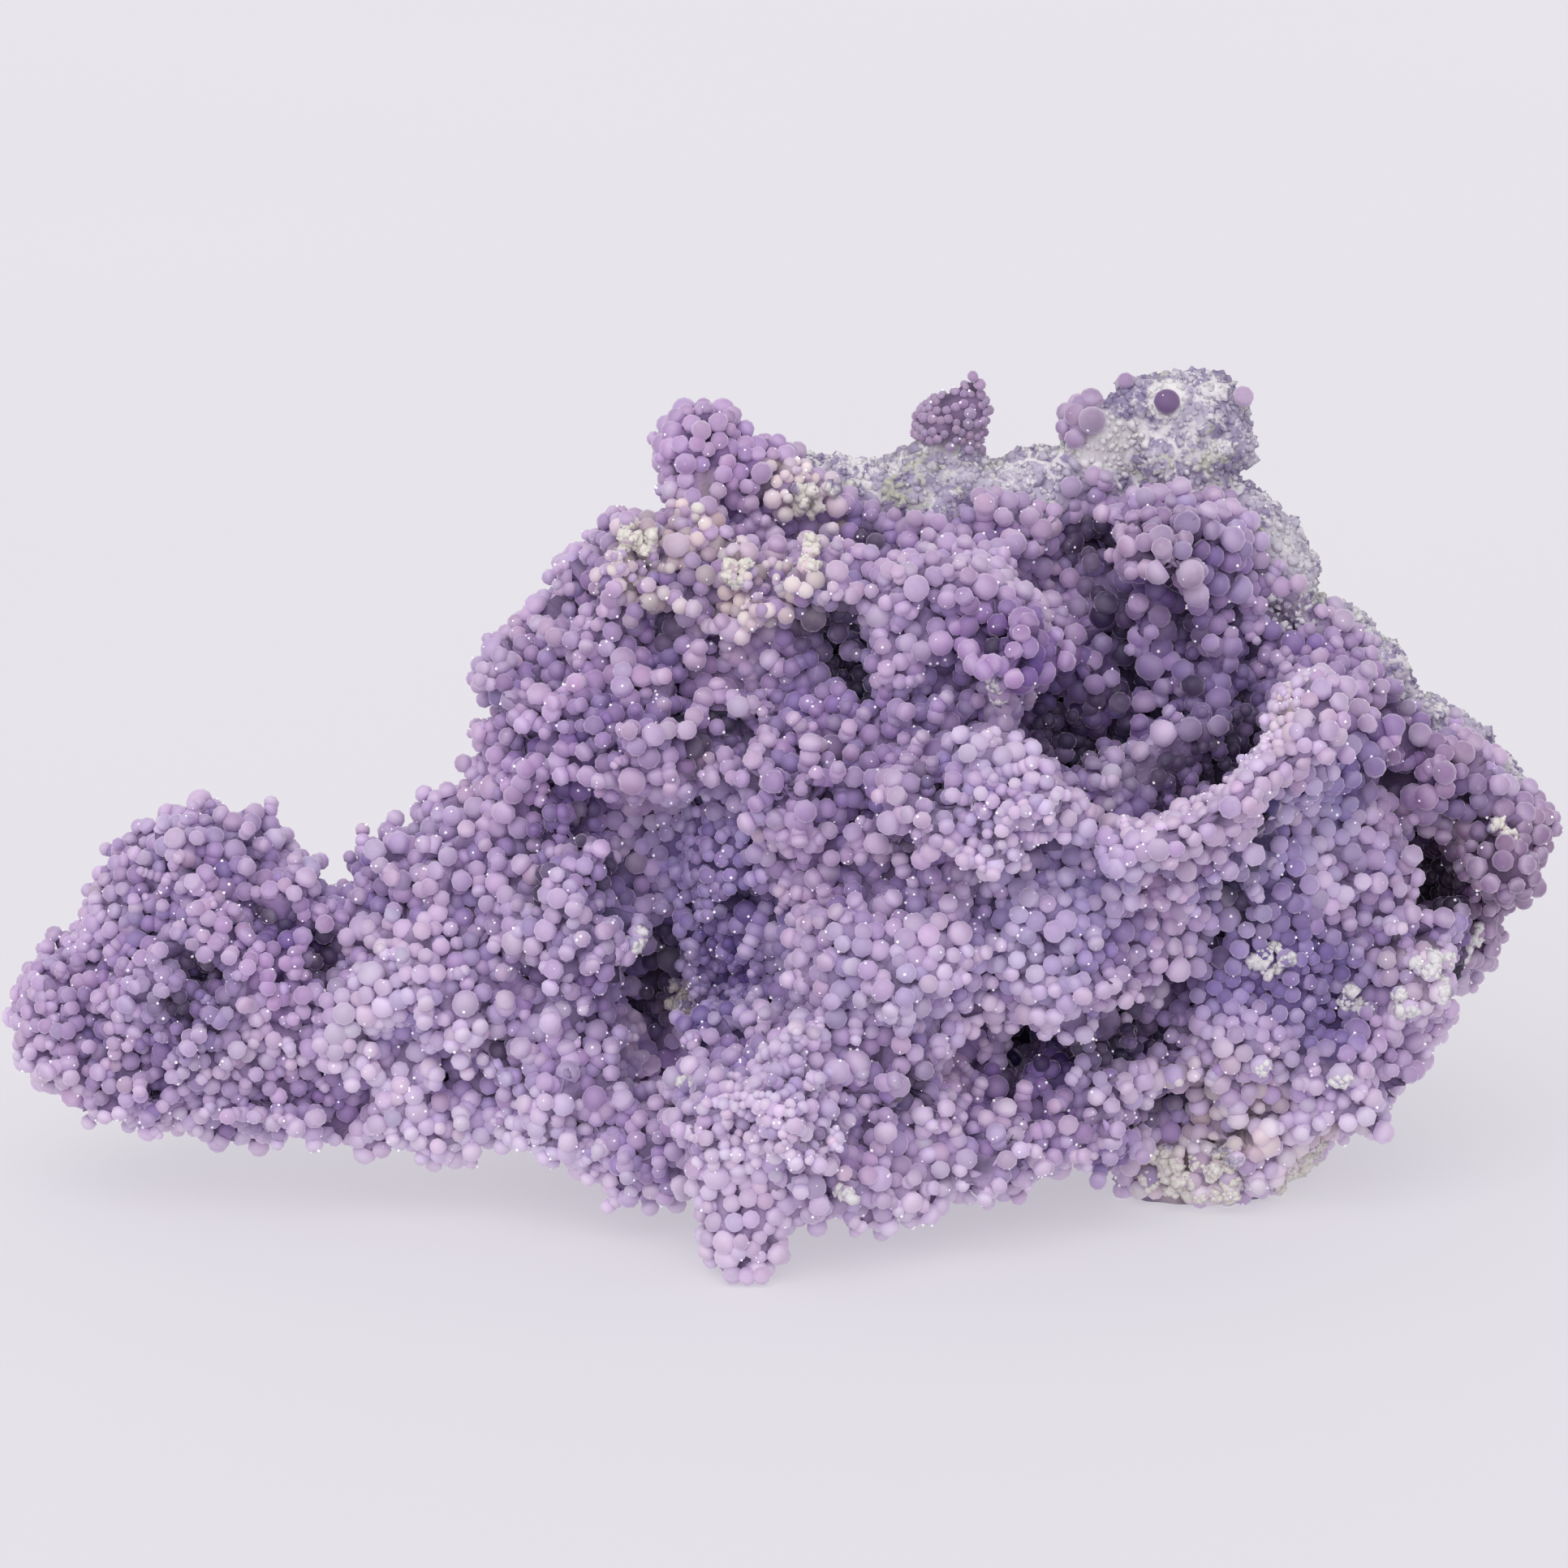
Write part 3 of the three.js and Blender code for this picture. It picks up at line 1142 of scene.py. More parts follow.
@dataclass(frozen=True)
class QuartzGlint:
    """Tiny clear-white quartz crystals, with a painted glow that makes them glint."""

    colour: Colour = linear("F4F2F8")
    shade: Colour = linear("C9C3DA")
    sparkle: float = 0.35

    def build(self) -> bpy.types.Material:
        """Makes the material: glossy white, a little greyer in places, with a painted glow.

        Returns:
            The material.
        """
        shader = Shader("quartz_glint")
        cloud = shader.noise(0.4)
        inputs = {
            "Base Color": shader.mix(self.colour, self.shade, cloud.over(0.5, 0.8)),
            "Roughness": 0.12 + 0.2 * cloud,
            # Painted glow, so that the crystals glint in shade too.
            "Emission Color": self.colour,
            "Emission Strength": self.sparkle,
        }
        return shader.finish(inputs)


@dataclass(frozen=True)
class PaleFloor:
    """A plain floor, a shade warmer than white."""

    colour: Colour = linear("98969A")
    cloudy: Colour = linear("949297")
    glow: Colour = linear("B5B3B8")

    def build(self) -> bpy.types.Material:
        """Makes the material: matt, with a hardly visible cloudiness and a glow of its own.

        Returns:
            The material.
        """
        shader = Shader("pale_floor")
        cloud = shader.noise(300.0, 1.0)
        inputs = {
            "Base Color": shader.mix(self.colour, self.cloudy, cloud),
            "Roughness": 0.9,
            "Emission Color": self.glow,
            "Emission Strength": 1.0,
        }
        return shader.finish(inputs)


# The stone body


def add_rock_marks(mesh: bpy.types.Mesh, points: Array) -> None:
    """Stores where the rock is chalky and where that chalk is warm.

    Args:
        mesh: A mesh with the rock's material.
        points: Its points in millimetres.
    """
    ragged = Field(Seed.ROCK_EDGES).swell(points, 4, 3)
    add_numbers(mesh, "chalk", strongest(CHALK, points, ragged))
    add_numbers(mesh, "warm", strongest(WARM, points, ragged))


@dataclass
class StoneBody:
    """The solid's surface, smoothed, and sunk between the clusters of spherules.

    Sizes, depths and heights are in millimetres, and reaches are in widths of a cell. lit and
    shadow are the depths over which painted shade turns the colour deep and then near black, and
    sole is the height over which the resting flats hold the surface back.
    """

    voxel: float = 1.0
    smoothing: int = 7
    shallow: float = 1.9
    deep: float = 6.4
    wander: float = 5.0
    wander_size: float = 14.0
    cluster: float = 10.0
    cluster_reach: float = 0.72
    crown_share: float = 0.45
    ridge: float = 8.0
    ridge_width: float = 0.16
    ridge_share: float = 0.75
    crease: float = 0.05
    gap_depth: float = 7.0
    pit_cell: float = 8.0
    pit_edge: Span = (0.36, 0.16)
    pit_depth: float = 5.0
    pit_share: float = 0.55
    calm_depth: float = 2.6
    thin_depth: float = 1.7
    raised_depth: float = 0.4
    rock_depth: float = -0.2
    rock_relief: float = 1.5
    hump_cell: float = 6.5
    hump_edge: Span = (0.1, 0.8)
    crag_size: float = 2.4
    bead_cell: float = 3.0
    bead_reach: float = 0.62
    bead_rise: float = 1.3
    bead_fade: Span = (0.5, 2.0)
    lit: Span = (9.0, 1.0)
    shadow: Span = (6.5, 10.5)
    sole: float = 1.2

    def envelope(self) -> bpy.types.Mesh:
        """Copies the solid, merges its corners, remakes it in even squares and smooths it.

        Returns:
            The new mesh. The solid's own mesh stays as it is.
        """
        mesh = frame["nodes"][NODE].data.copy()
        merged = bmesh.new()
        merged.from_mesh(mesh)
        bmesh.ops.remove_doubles(merged, verts=merged.verts, dist=1e-6)
        merged.to_mesh(mesh)
        merged.free()
        scratch = bpy.data.objects.new("envelope", mesh)
        bpy.context.scene.collection.objects.link(scratch)
        remesh = scratch.modifiers.new("even", "REMESH")
        remesh.mode = "VOXEL"
        remesh.voxel_size = self.voxel * MM
        smooth = scratch.modifiers.new("smooth", "SMOOTH")
        smooth.factor = 0.5
        smooth.iterations = self.smoothing
        seen = scratch.evaluated_get(bpy.context.evaluated_depsgraph_get())
        even = bpy.data.meshes.new_from_object(seen)
        bpy.data.objects.remove(scratch)
        return even

    def sink(self, points: Array, grounds: Grounds) -> Array:
        """How deep the body lies: least on a rounded cluster's crown, most in the creases.

        A cluster is a quarter circle that falls away from a random centre. Ridges wind across the
        clusters, where soft waves pass their middle value. Round pits are set into some of the
        cells of one more random pattern. Calm parts lie at one depth. Gaps are added, and thin
        parts, bare rock and the resting flats hold the depth back. The rock is lumpy too: it falls
        away from random centres and is roughened by finer waves.

        Args:
            points: Rows of x, y, z on the envelope.
            grounds: What the stone is like there.

        Returns:
            The depth at each point.
        """
        drift = Field(Seed.WANDER).swell(points, self.wander_size) - 0.5
        wander = points + self.wander * drift[:, None]
        near, _ = Field(Seed.CLUSTERS).cells(wander, self.cluster)
        crown = np.sqrt(np.clip(1 - (near / self.cluster_reach) ** 2, 0, 1))
        waves = Field(Seed.RIDGES).swell(wander, self.ridge, 1)
        ridge = 1 - smooth_step(0.0, self.ridge_width, np.abs(waves - 0.5))
        rise = np.clip(self.crown_share * crown + self.ridge_share * ridge - self.crease, 0, 1)
        depth = self.deep + (self.shallow - self.deep) * rise
        hole, chance = Field(Seed.PITS).cells(wander, self.pit_cell)
        pit = smooth_step(*self.pit_edge, hole) * (chance < self.pit_share)
        depth = depth + self.pit_depth * pit
        depth = depth + (self.calm_depth - depth) * grounds.calm
        depth = depth + (self.thin_depth - depth) * grounds.thin
        depth = depth + (self.raised_depth - depth) * grounds.raised
        depth = depth + self.gap_depth * grounds.gap
        hump, _ = Field(Seed.HUMPS).cells(points, self.hump_cell)
        craggy = smooth_step(*self.hump_edge, hump)
        craggy = craggy + Field(Seed.CRAGS).swell(points, self.crag_size, 2)
        depth = depth + (self.rock_depth + self.rock_relief * craggy - depth) * grounds.rock
        return depth * smooth_step(0.0, self.sole, points[:, 2])

    def beads(self, points: Array, grounds: Grounds) -> Array:
        """The relief of the chalcedony itself, from 0 to 1: half spheres on random centres."""
        near, _ = Field(Seed.BEADS).cells(points, self.bead_cell)
        return np.sqrt(np.clip(1 - (near / self.bead_reach) ** 2, 0, 1)) * (1 - grounds.rock)

    def build(self, finish: bpy.types.Material) -> Skin:
        """Makes the body and dresses it.

        Args:
            finish: Its material.

        Returns:
            The sunk surface, for the spherules to grow on.
        """
        mesh = self.envelope()
        points = fetch(mesh.vertices, "co", 3) / MM
        normals = fetch(mesh.vertex_normals, "vector", 3)
        grounds = Grounds.at(points)
        depth = self.sink(points, grounds)
        beads = self.beads(points, grounds)
        relief = depth - self.bead_rise * beads * smooth_step(*self.bead_fade, depth)
        relief -= grounds.relief * smooth_step(0.0, self.sole, points[:, 2])
        sunk = points - normals * relief[:, None]
        sunk[:, 2] = np.maximum(sunk[:, 2], 0)
        mesh.calc_loop_triangles()
        triangles = fetch(mesh.loop_triangles, "vertices", 3, int)
        body = new_mesh("stone_body", sunk, triangles)
        outward = fetch(body.vertex_normals, "vector", 3)
        add_numbers(body, "bare", grounds.rock)
        # Painted light and shade: paler on the bead domes and nearer the surface, near black deep
        # down and in gaps, and darker between the domes.
        rise = smooth_step(*self.lit, depth) * (0.1 + 0.45 * beads)
        painted_shade = np.maximum(grounds.gap, smooth_step(*self.shadow, depth))
        chance = Field(Seed.BODY_CHANCE).swell(points, 3, 1)
        tone = chalcedony_colour(points, grounds, rise, painted_shade, chance)
        add_colours(body, "tone", tone * (0.6 + 0.4 * beads)[:, None])
        add_rock_marks(body, points)
        add_piece("stone_body", body, finish)
        log.info("stone body: %d triangles", len(triangles))
        return Skin(sunk, unit(outward + normals), triangles, depth + grounds.raised)


# Spherules


def close_pairs(points: Array, reach: float) -> Iterator[tuple[Array, Array]]:
    """Pairs of points in the same or touching cells of a grid, each pair once.

    Args:
        points: Rows of x, y, z.
        reach: Width of a cell.

    Yields:
        The numbers of the first and second points, one array of each for a step between cells.
    """
    cell = np.floor(points / reach).astype(np.int64)
    cell -= cell.min(axis=0) - 1
    span = cell.max(axis=0) + 2
    key = (cell[:, 0] * span[1] + cell[:, 1]) * span[2] + cell[:, 2]
    order = np.argsort(key, kind="stable")
    ordered = key[order]
    for step in np.ndindex(3, 3, 3):
        dx, dy, dz = (s - 1 for s in step)
        if (dx, dy, dz) < (0, 0, 0):
            continue
        target = ordered + (dx * span[1] + dy) * span[2] + dz
        first = np.searchsorted(ordered, target, "left")
        last = np.searchsorted(ordered, target, "right")
        if (dx, dy, dz) == (0, 0, 0):
            first = np.arange(len(ordered)) + 1
        count = np.maximum(last - first, 0)
        a = np.repeat(np.arange(len(ordered)), count)
        within = np.arange(len(a)) - np.repeat(np.cumsum(count) - count, count)
        yield order[a], order[np.repeat(first, count) + within]


def thin_out(points: Array, spacing: Array, rank: Array) -> Array:
    """Keeps points so that no two stand closer than the mean of their spacings.

    In each round, every point that outranks all its undecided neighbours stays and they go.

    Args:
        points: Rows of x, y, z.
        spacing: The distance that each point keeps.
        rank: The higher of two close points stays. No two ranks are alike.

    Returns:
        True for each point that stays.
    """
    firsts, seconds = [], []
    for a, b in close_pairs(points, float(spacing.max())):
        near = np.linalg.norm(points[a] - points[b], axis=1) < (spacing[a] + spacing[b]) / 2
        firsts.append(a[near])
        seconds.append(b[near])
    a, b = np.concatenate(firsts), np.concatenate(seconds)
    undecided = np.ones(len(points), bool)
    kept = np.zeros(len(points), bool)
    while undecided.any():
        current = np.where(undecided, rank, -1.0)
        rival = np.full(len(points), -1.0)
        np.maximum.at(rival, a, current[b])
        np.maximum.at(rival, b, current[a])
        winner = undecided & (rank > rival)
        kept |= winner
        undecided &= ~winner
        undecided[b[winner[a]]] = False
        undecided[a[winner[b]]] = False
    return kept


@dataclass(frozen=True)
class SpheruleForm:
    """How finely a spherule up to some radius is faceted: angles of rings, and points in each."""

    up_to: float
    rings: tuple[tuple[float, int], ...]

    def build(self) -> tuple[Array, Array]:
        """One spherule of radius 1 that grows along +Z, with no more than it needs at its root.

        Returns:
            Its points and triangles, the convex hull of the rings.
        """
        points = []
        for turn, (angle, count) in enumerate(self.rings):
            around = (np.arange(count) + 0.5 * turn) * (2 * math.pi / count)
            high, wide = math.cos(math.radians(angle)), math.sin(math.radians(angle))
            ring = np.stack([wide * np.cos(around), wide * np.sin(around), np.full(count, high)], 1)
            points.append(ring)
        return hull(np.concatenate(points))


FORMS = (
    SpheruleForm(0.95, ((0, 1), (48, 6), (94, 8), (135, 4))),
    SpheruleForm(1.6, ((0, 1), (38, 6), (75, 9), (118, 7))),
    SpheruleForm(9.0, ((0, 1), (28, 6), (56, 10), (86, 12), (120, 9))),
)


@dataclass
class Spherules:
    """A set of spherules: where they sit, which way they grow, how big and how deep they are.

    stem is the direction from the body or the parent, and outward is the way to open air.
    """

    centres: Array
    outward: Array
    stem: Array
    radius: Array
    headroom: Array
    roof: Array

    def __len__(self) -> int:
        """How many there are."""
        return len(self.radius)

    def only(self, chosen: Array) -> "Spherules":
        """The chosen ones."""
        return Spherules(*(getattr(self, part.name)[chosen] for part in fields(self)))

    def with_others(self, other: "Spherules") -> "Spherules":
        """These and the others."""
        pairs = ((getattr(self, part.name), getattr(other, part.name)) for part in fields(self))
        return Spherules(*(np.concatenate(pair) for pair in pairs))


REGIONS = {
    "left_lobe": (-80, 0, 28),
    "neck": (-50, 0, 25),
    "left_flank": (-24, -5, 58),
    "left_foot": (-12, -20, 20),
    "heart": (14, -25, 45),
    "crown": (0, 5, 90),
    "brow": (40, 0, 85),
    "cave": (52, -15, 64),
    "right_wing": (86, 5, 50),
    "basin": (68, -10, 35),
    "lower_right": (52, -8, 12),
    "back": (10, 38, 45),
    "back_right": (65, 35, 40),
}


@dataclass(frozen=True)
class SpheruleTones:
    """The colour of each spherule by depth, place and chance, with painted light and shade.

    lit and shadow are the depths over which painted shade turns it deep and then near black.
    underside is how far the growth turns down, and near_floor the heights, over which painted light
    from below pales it.
    """

    lit: Span = (6.0, 0.8)
    unevenness: float = 0.6
    scatter: float = 0.25
    shadow: Span = (6.0, 10.0)
    gap_shadow: float = 0.9
    brightness: float = 0.06
    tint: float = 0.03
    underside: Span = (0.2, -0.6)
    near_floor: Span = (45.0, 20.0)
    underside_frost: float = 0.42
    side_frost: float = 0.28
    tip_shade: float = 0.95
    root_shade: Point = (0.96, 0.9, 1.0)
    limits: Span = (0.01, 0.95)

    def mix(self, crust: Spherules, rng: np.random.Generator) -> Array:
        """Mixes the colours at the tip, round the side and at the root of each spherule.

        The side is painted palest, as a sheen, the tip a little darker, and the root darker as
        painted shade.

        Args:
            crust: The spherules.
            rng: The source of the random numbers.

        Returns:
            Linear colours, one row of tip, side and root for each spherule.
        """
        count = len(crust)
        grounds = Grounds.at(crust.centres)
        uneven = crust.headroom + self.unevenness * rng.standard_normal(count)
        # Painted shade: deep down the colour turns deep, and near black deeper still and in gaps.
        rise = smooth_step(*self.lit, uneven) + self.scatter * (rng.random(count) - 0.5)
        painted_shade = smooth_step(*self.shadow, crust.headroom)
        painted_shade = np.maximum(painted_shade, self.gap_shadow * grounds.gap)
        colour = chalcedony_colour(crust.centres, grounds, rise, painted_shade, rng.random(count))
        brightness = self.brightness * rng.standard_normal((count, 1))
        colour *= 1 + brightness + self.tint * rng.standard_normal((count, 3))
        # Painted light from below: undersides near the floor are paled.
        painted_pale_light = np.array(FROST_AND_PAINTED_LIGHT[:3])
        under = smooth_step(*self.underside, crust.outward[:, 2])
        under = under * smooth_step(*self.near_floor, crust.centres[:, 2])
        colour = blend(colour, painted_pale_light, self.underside_frost * under * rise)
        # Painted sheen: each spherule's side is paler; its tip and root are darker as painted shade.
        side = blend(colour, painted_pale_light, self.side_frost * rise)
        root = colour * np.array(self.root_shade)
        return np.clip(np.stack([colour * self.tip_shade, side, root], axis=1), *self.limits)


@dataclass
class SpheruleCrust:
    """The crust: a base layer on the body, and chains that sprout from it.

    The spacings, lift, resting height, room, step and tip_room are in radii. A roof is how far
    below the solid's surface a chain has to end: the canopy's share of the body's depth beyond
    canopy_start. calm_hold is the part of the lift that a calm ground takes away.
    """

    skin: Skin
    radius: float = 1.27
    spread: float = 0.14
    extremes: Span = (0.65, 1.4)
    fine: float = 0.58
    large: float = 1.28
    candidates: int = 180000
    rock_limit: float = 0.6
    rock_fray: float = 0.25
    spacing: float = 1.36
    lift: float = 0.6
    calm_hold: float = 0.5
    resting: float = 0.8
    canopy: float = 0.9
    canopy_start: float = 2.4
    calm_roof: float = 9.0
    keen: float = 0.12
    keen_roof: float = -0.01
    sprouting: tuple[float, ...] = (0.75, 0.6, 0.5, 0.4)
    room: float = 1.75
    sway: float = 0.8
    growth: Span = (0.8, 1.12)
    step: Span = (0.52, 0.68)
    turning: float = 0.4
    chain_spacing: float = 0.96
    tip_room: float = 0.7
    tip_slack: float = 0.35
    gap_floor: float = 4.0
    squash: Span = (0.94, 1.07)
    tip_band: Span = (0.3, 0.95)
    root_band: Span = (0.1, -0.7)
    seed: int = 5

    def sizes(self, places: Array, rng: np.random.Generator) -> Array:
        """Chooses how big spherules grow: typical, fine or large by the ground, and by chance.

        Args:
            places: Rows of x, y, z.
            rng: The source of the random numbers.

        Returns:
            A radius for each place.
        """
        grounds = Grounds.at(places)
        scale = 1 + (self.fine - 1) * grounds.fine + (self.large - 1) * grounds.large
        varied = np.exp(self.spread * rng.standard_normal(len(places)))
        return self.radius * scale * np.clip(varied, *self.extremes)

    def base_layer(self, rng: np.random.Generator) -> Spherules:
        """Grows spherules half sunk in the body, a random part of them lifted.

        The room above each one ends at the solid's surface over a cluster's crown, and some way
        below it over the creases, so that clusters stay apart. A few keen ones ignore that.

        Args:
            rng: The source of the random numbers.

        Returns:
            The spherules, thinned to their spacing.
        """
        places, outward, depth = self.skin.scatter(self.candidates, rng)
        grounds = Grounds.at(places)
        grown = grounds.rock + self.rock_fray * rng.random(len(places)) < self.rock_limit
        places, outward, depth = places[grown], outward[grown], depth[grown]
        calm = grounds.calm[grown]
        radius = self.sizes(places, rng)
        lift = radius * rng.uniform(0.0, self.lift, len(radius)) * (1 - self.calm_hold * calm)
        kept = thin_out(places, self.spacing * radius, rng.random(len(radius)))
        roof = self.canopy * np.maximum(depth - self.canopy_start, 0)
        roof = np.where(rng.random(len(radius)) < self.keen, self.keen_roof, roof)
        roof = roof + self.calm_roof * calm
        centres = places + outward * lift[:, None]
        centres[:, 2] = np.maximum(centres[:, 2], self.resting * radius)
        return Spherules(centres, outward, outward, radius, depth - lift, roof).only(kept)

    def sprout(self, parents: Spherules, share: float, rng: np.random.Generator) -> Spherules:
        """The next spherule of some chains, where there is room out to the canopy.

        Args:
            parents: The spherules that may carry one.
            share: The part of them that do.
            rng: The source of the random numbers.

        Returns:
            The new spherules, each leaning at random from its parent.
        """
        roomy = parents.headroom - parents.roof > self.room * parents.radius
        willing = (rng.random(len(parents)) < share) | (parents.roof < 0)
        chosen = parents.only(roomy & willing)
        lean = unit(rng.standard_normal(chosen.outward.shape))
        along = unit(chosen.outward + self.sway * lean)
        radius = chosen.radius * rng.uniform(*self.growth, len(chosen))
        step = rng.uniform(*self.step, len(chosen)) * (chosen.radius + radius)
        gain = step * np.einsum("nd,nd->n", along, chosen.outward)
        centres = chosen.centres + along * step[:, None]
        outward = unit(chosen.outward + self.turning * along)
        return Spherules(centres, outward, along, radius, chosen.headroom - gain, chosen.roof)

    def lone(self) -> Spherules:
        """Places the few that stand out by themselves.

        Returns:
            Those spherules.
        """
        rows = np.array(LONE, float)
        facing = np.tile(unit(np.array([[0.0, -0.6, 0.8]])), (len(rows), 1))
        return Spherules(rows[:, :3], facing, facing, rows[:, 3], rows[:, 4], rows[:, 4])

    def grow(self) -> Spherules:
        """Grows the base layer and its chains, and thins them so that none hides in another.

        Returns:
            Every spherule of the crust.
        """
        rng = np.random.default_rng(self.seed)
        crust = self.base_layer(rng)
        log.info("base layer: %d spherules", len(crust))
        parents, rank = crust, rng.random(len(crust))
        for share in self.sprouting:
            parents = self.sprout(parents, share, rng)
            crust = crust.with_others(parents)
            rank = np.concatenate([rank, 1 + rng.random(len(parents))])
        fits = crust.headroom > self.tip_room * crust.radius - self.tip_slack
        fits &= crust.centres[:, 2] >= self.resting * crust.radius
        fits &= (Grounds.at(crust.centres).gap < 0.5) | (crust.headroom > self.gap_floor)
        crust, rank = crust.only(fits), rank[fits]
        kept = thin_out(crust.centres, self.chain_spacing * crust.radius, rank)
        return crust.only(kept).with_others(self.lone())

    def mesh(self, name: str, crust: Spherules, tones: Array) -> bpy.types.Mesh:
        """One mesh of many spherules.

        Each copy of the form is turned at random about its growth, squashed a little and moved.

        Args:
            name: The mesh's name.
            crust: The spherules.
            tones: Their colours at tip, side and root, with painted sheen and shade in them.

        Returns:
            The mesh, with its tone attribute.
        """
        rng = np.random.default_rng(self.seed + len(crust))
        side = unit(np.cross(crust.stem, unit(rng.standard_normal(crust.stem.shape))))
        axes = np.stack([side, np.cross(crust.stem, side), crust.stem], axis=1)
        scale = crust.radius[:, None] * rng.uniform(*self.squash, (len(crust), 3))
        batch = Batch()
        smallest = 0.0
        for form in FORMS:
            mine = (crust.radius > smallest) & (crust.radius <= form.up_to)
            smallest = form.up_to
            corners, faces = form.build()
            points = np.einsum("vk,nk,nkd->nvd", corners, scale[mine], axes[mine])
            points = points + crust.centres[mine][:, None]
            normals = np.einsum("vk,nkd->nvd", corners, axes[mine])
            tip = smooth_step(*self.tip_band, corners[:, 2])[None, :, None]
            root = smooth_step(*self.root_band, corners[:, 2])[None, :, None]
            tone = tones[mine, 0:1] * tip + tones[mine, 2:3] * root
            batch.add(points, faces, tone + tones[mine, 1:2] * (1 - tip - root), normals)
        return batch.mesh(name)

    def build(self) -> Spherules:
        """Makes the crust, one piece for each region of the stone.

        Returns:
            All the spherules.
        """
        crust = self.grow()
        tones = SpheruleTones().mix(crust, np.random.default_rng(self.seed + 1))
        finish = FrostedChalcedony().build()
        homes = np.array(list(REGIONS.values()), float)
        owner = np.linalg.norm(crust.centres[:, None] - homes[None], axis=2).argmin(axis=1)
        for number, region in enumerate(REGIONS):
            mine = owner == number
            if not mine.any():
                continue
            name = f"spherules_{region}"
            mesh = self.mesh(name, crust.only(mine), tones[mine])
            add_piece(name, mesh, finish)
            log.info("%s: %d spherules, %d triangles", name, mine.sum(), len(mesh.polygons))
        log.info("crust: %d spherules", len(crust))
        return crust


@dataclass
class RockRubble:
    """Blocky crumbs of the host rock, which make its broken skin rough.

    A crumb of radius 1 is a cube of half width half with its corners moved by up to jitter. In the
    chalky patches each spherule less deep than chalky_depth carries the number of crumbs in each.
    """

    skin: Skin
    candidates: int = 160000
    rock_limit: float = 0.45
    rock_fray: float = 0.2
    size: float = 0.59
    spread: float = 0.3
    spacing: float = 1.25
    forms: int = 6
    half: float = 0.6
    jitter: float = 0.25
    proportions: Point = (1.1, 1.0, 0.8)
    each: int = 12
    chalky_size: float = 0.5
    chalky_spread: float = 0.35
    chalky_depth: float = 4.0
    chalky_height: float = 0.9
    sway: float = 0.9
    seed: int = 14

    def form(self, rng: np.random.Generator) -> tuple[Array, Array]:
        """Makes one crumb, the convex hull of a cube's moved corners.

        Args:
            rng: The source of the random numbers.

        Returns:
            Its points and triangles.
        """
        cube = np.array(list(np.ndindex(2, 2, 2))) * (2 * self.half) - self.half
        moved = cube + rng.uniform(-self.jitter, self.jitter, cube.shape)
        return hull(moved * np.array(self.proportions))

    def chalky(self, crust: Spherules, rng: np.random.Generator) -> tuple[Array, Array]:
        """Crumbs that sit on the outer side of the spherules in chalky patches.

        Args:
            crust: The spherules.
            rng: The source of the random numbers.

        Returns:
            Their places and radii.
        """
        ragged = Field(Seed.CHALKY_EDGES).swell(crust.centres, 3, 2)
        near = strongest(CRUMBLY, crust.centres, ragged) > 0.5
        host = np.repeat(np.flatnonzero(near & (crust.headroom < self.chalky_depth)), self.each)
        lean = unit(rng.standard_normal((len(host), 3)))
        toward = unit(crust.outward[host] + self.sway * lean)
        places = crust.centres[host] + toward * crust.radius[host][:, None] * self.chalky_height
        varied = np.exp(self.chalky_spread * rng.standard_normal(len(host)))
        return places, self.chalky_size * varied

    def build(self, finish: bpy.types.Material, crust: Spherules) -> None:
        """Makes the crumbs, each turned at random and half sunk.

        Args:
            finish: Their material.
            crust: The spherules.
        """
        rng = np.random.default_rng(self.seed)
        places, _, _ = self.skin.scatter(self.candidates, rng)
        bare = Grounds.at(places).rock
        places = places[bare > self.rock_limit + self.rock_fray * rng.random(len(places))]
        radius = self.size * np.exp(self.spread * rng.standard_normal(len(places)))
        kept = thin_out(places, self.spacing * radius, rng.random(len(places)))
        lumps, size = self.chalky(crust, rng)
        places, radius = np.concatenate([places[kept], lumps]), np.append(radius[kept], size)
        kind = rng.integers(self.forms, size=len(places))
        batch = Batch()
        for number in range(self.forms):
            corners, faces = self.form(rng)
            mine = kind == number
            turns, _ = np.linalg.qr(rng.standard_normal((mine.sum(), 3, 3)))
            turns *= np.sign(np.linalg.det(turns))[:, None, None]
            turned = np.einsum("vk,nkd->nvd", corners, turns)
            points = turned * radius[mine][:, None, None] + places[mine][:, None]
            batch.add(points, faces, np.ones_like(points), turned)
        mesh = batch.mesh("rock_rubble", smooth=False)
        points = fetch(mesh.vertices, "co", 3) / MM
        add_numbers(mesh, "bare", np.ones(len(points)))
        add_rock_marks(mesh, points)
        add_piece("rock_rubble", mesh, finish)
        log.info("rock rubble: %d crumbs, %d triangles", len(places), len(mesh.polygons))


OCTAHEDRON = np.array(
    [[0, 1, 2], [1, 3, 2], [3, 4, 2], [4, 0, 2], [1, 0, 5], [3, 1, 5], [4, 3, 5], [0, 4, 5]]
)


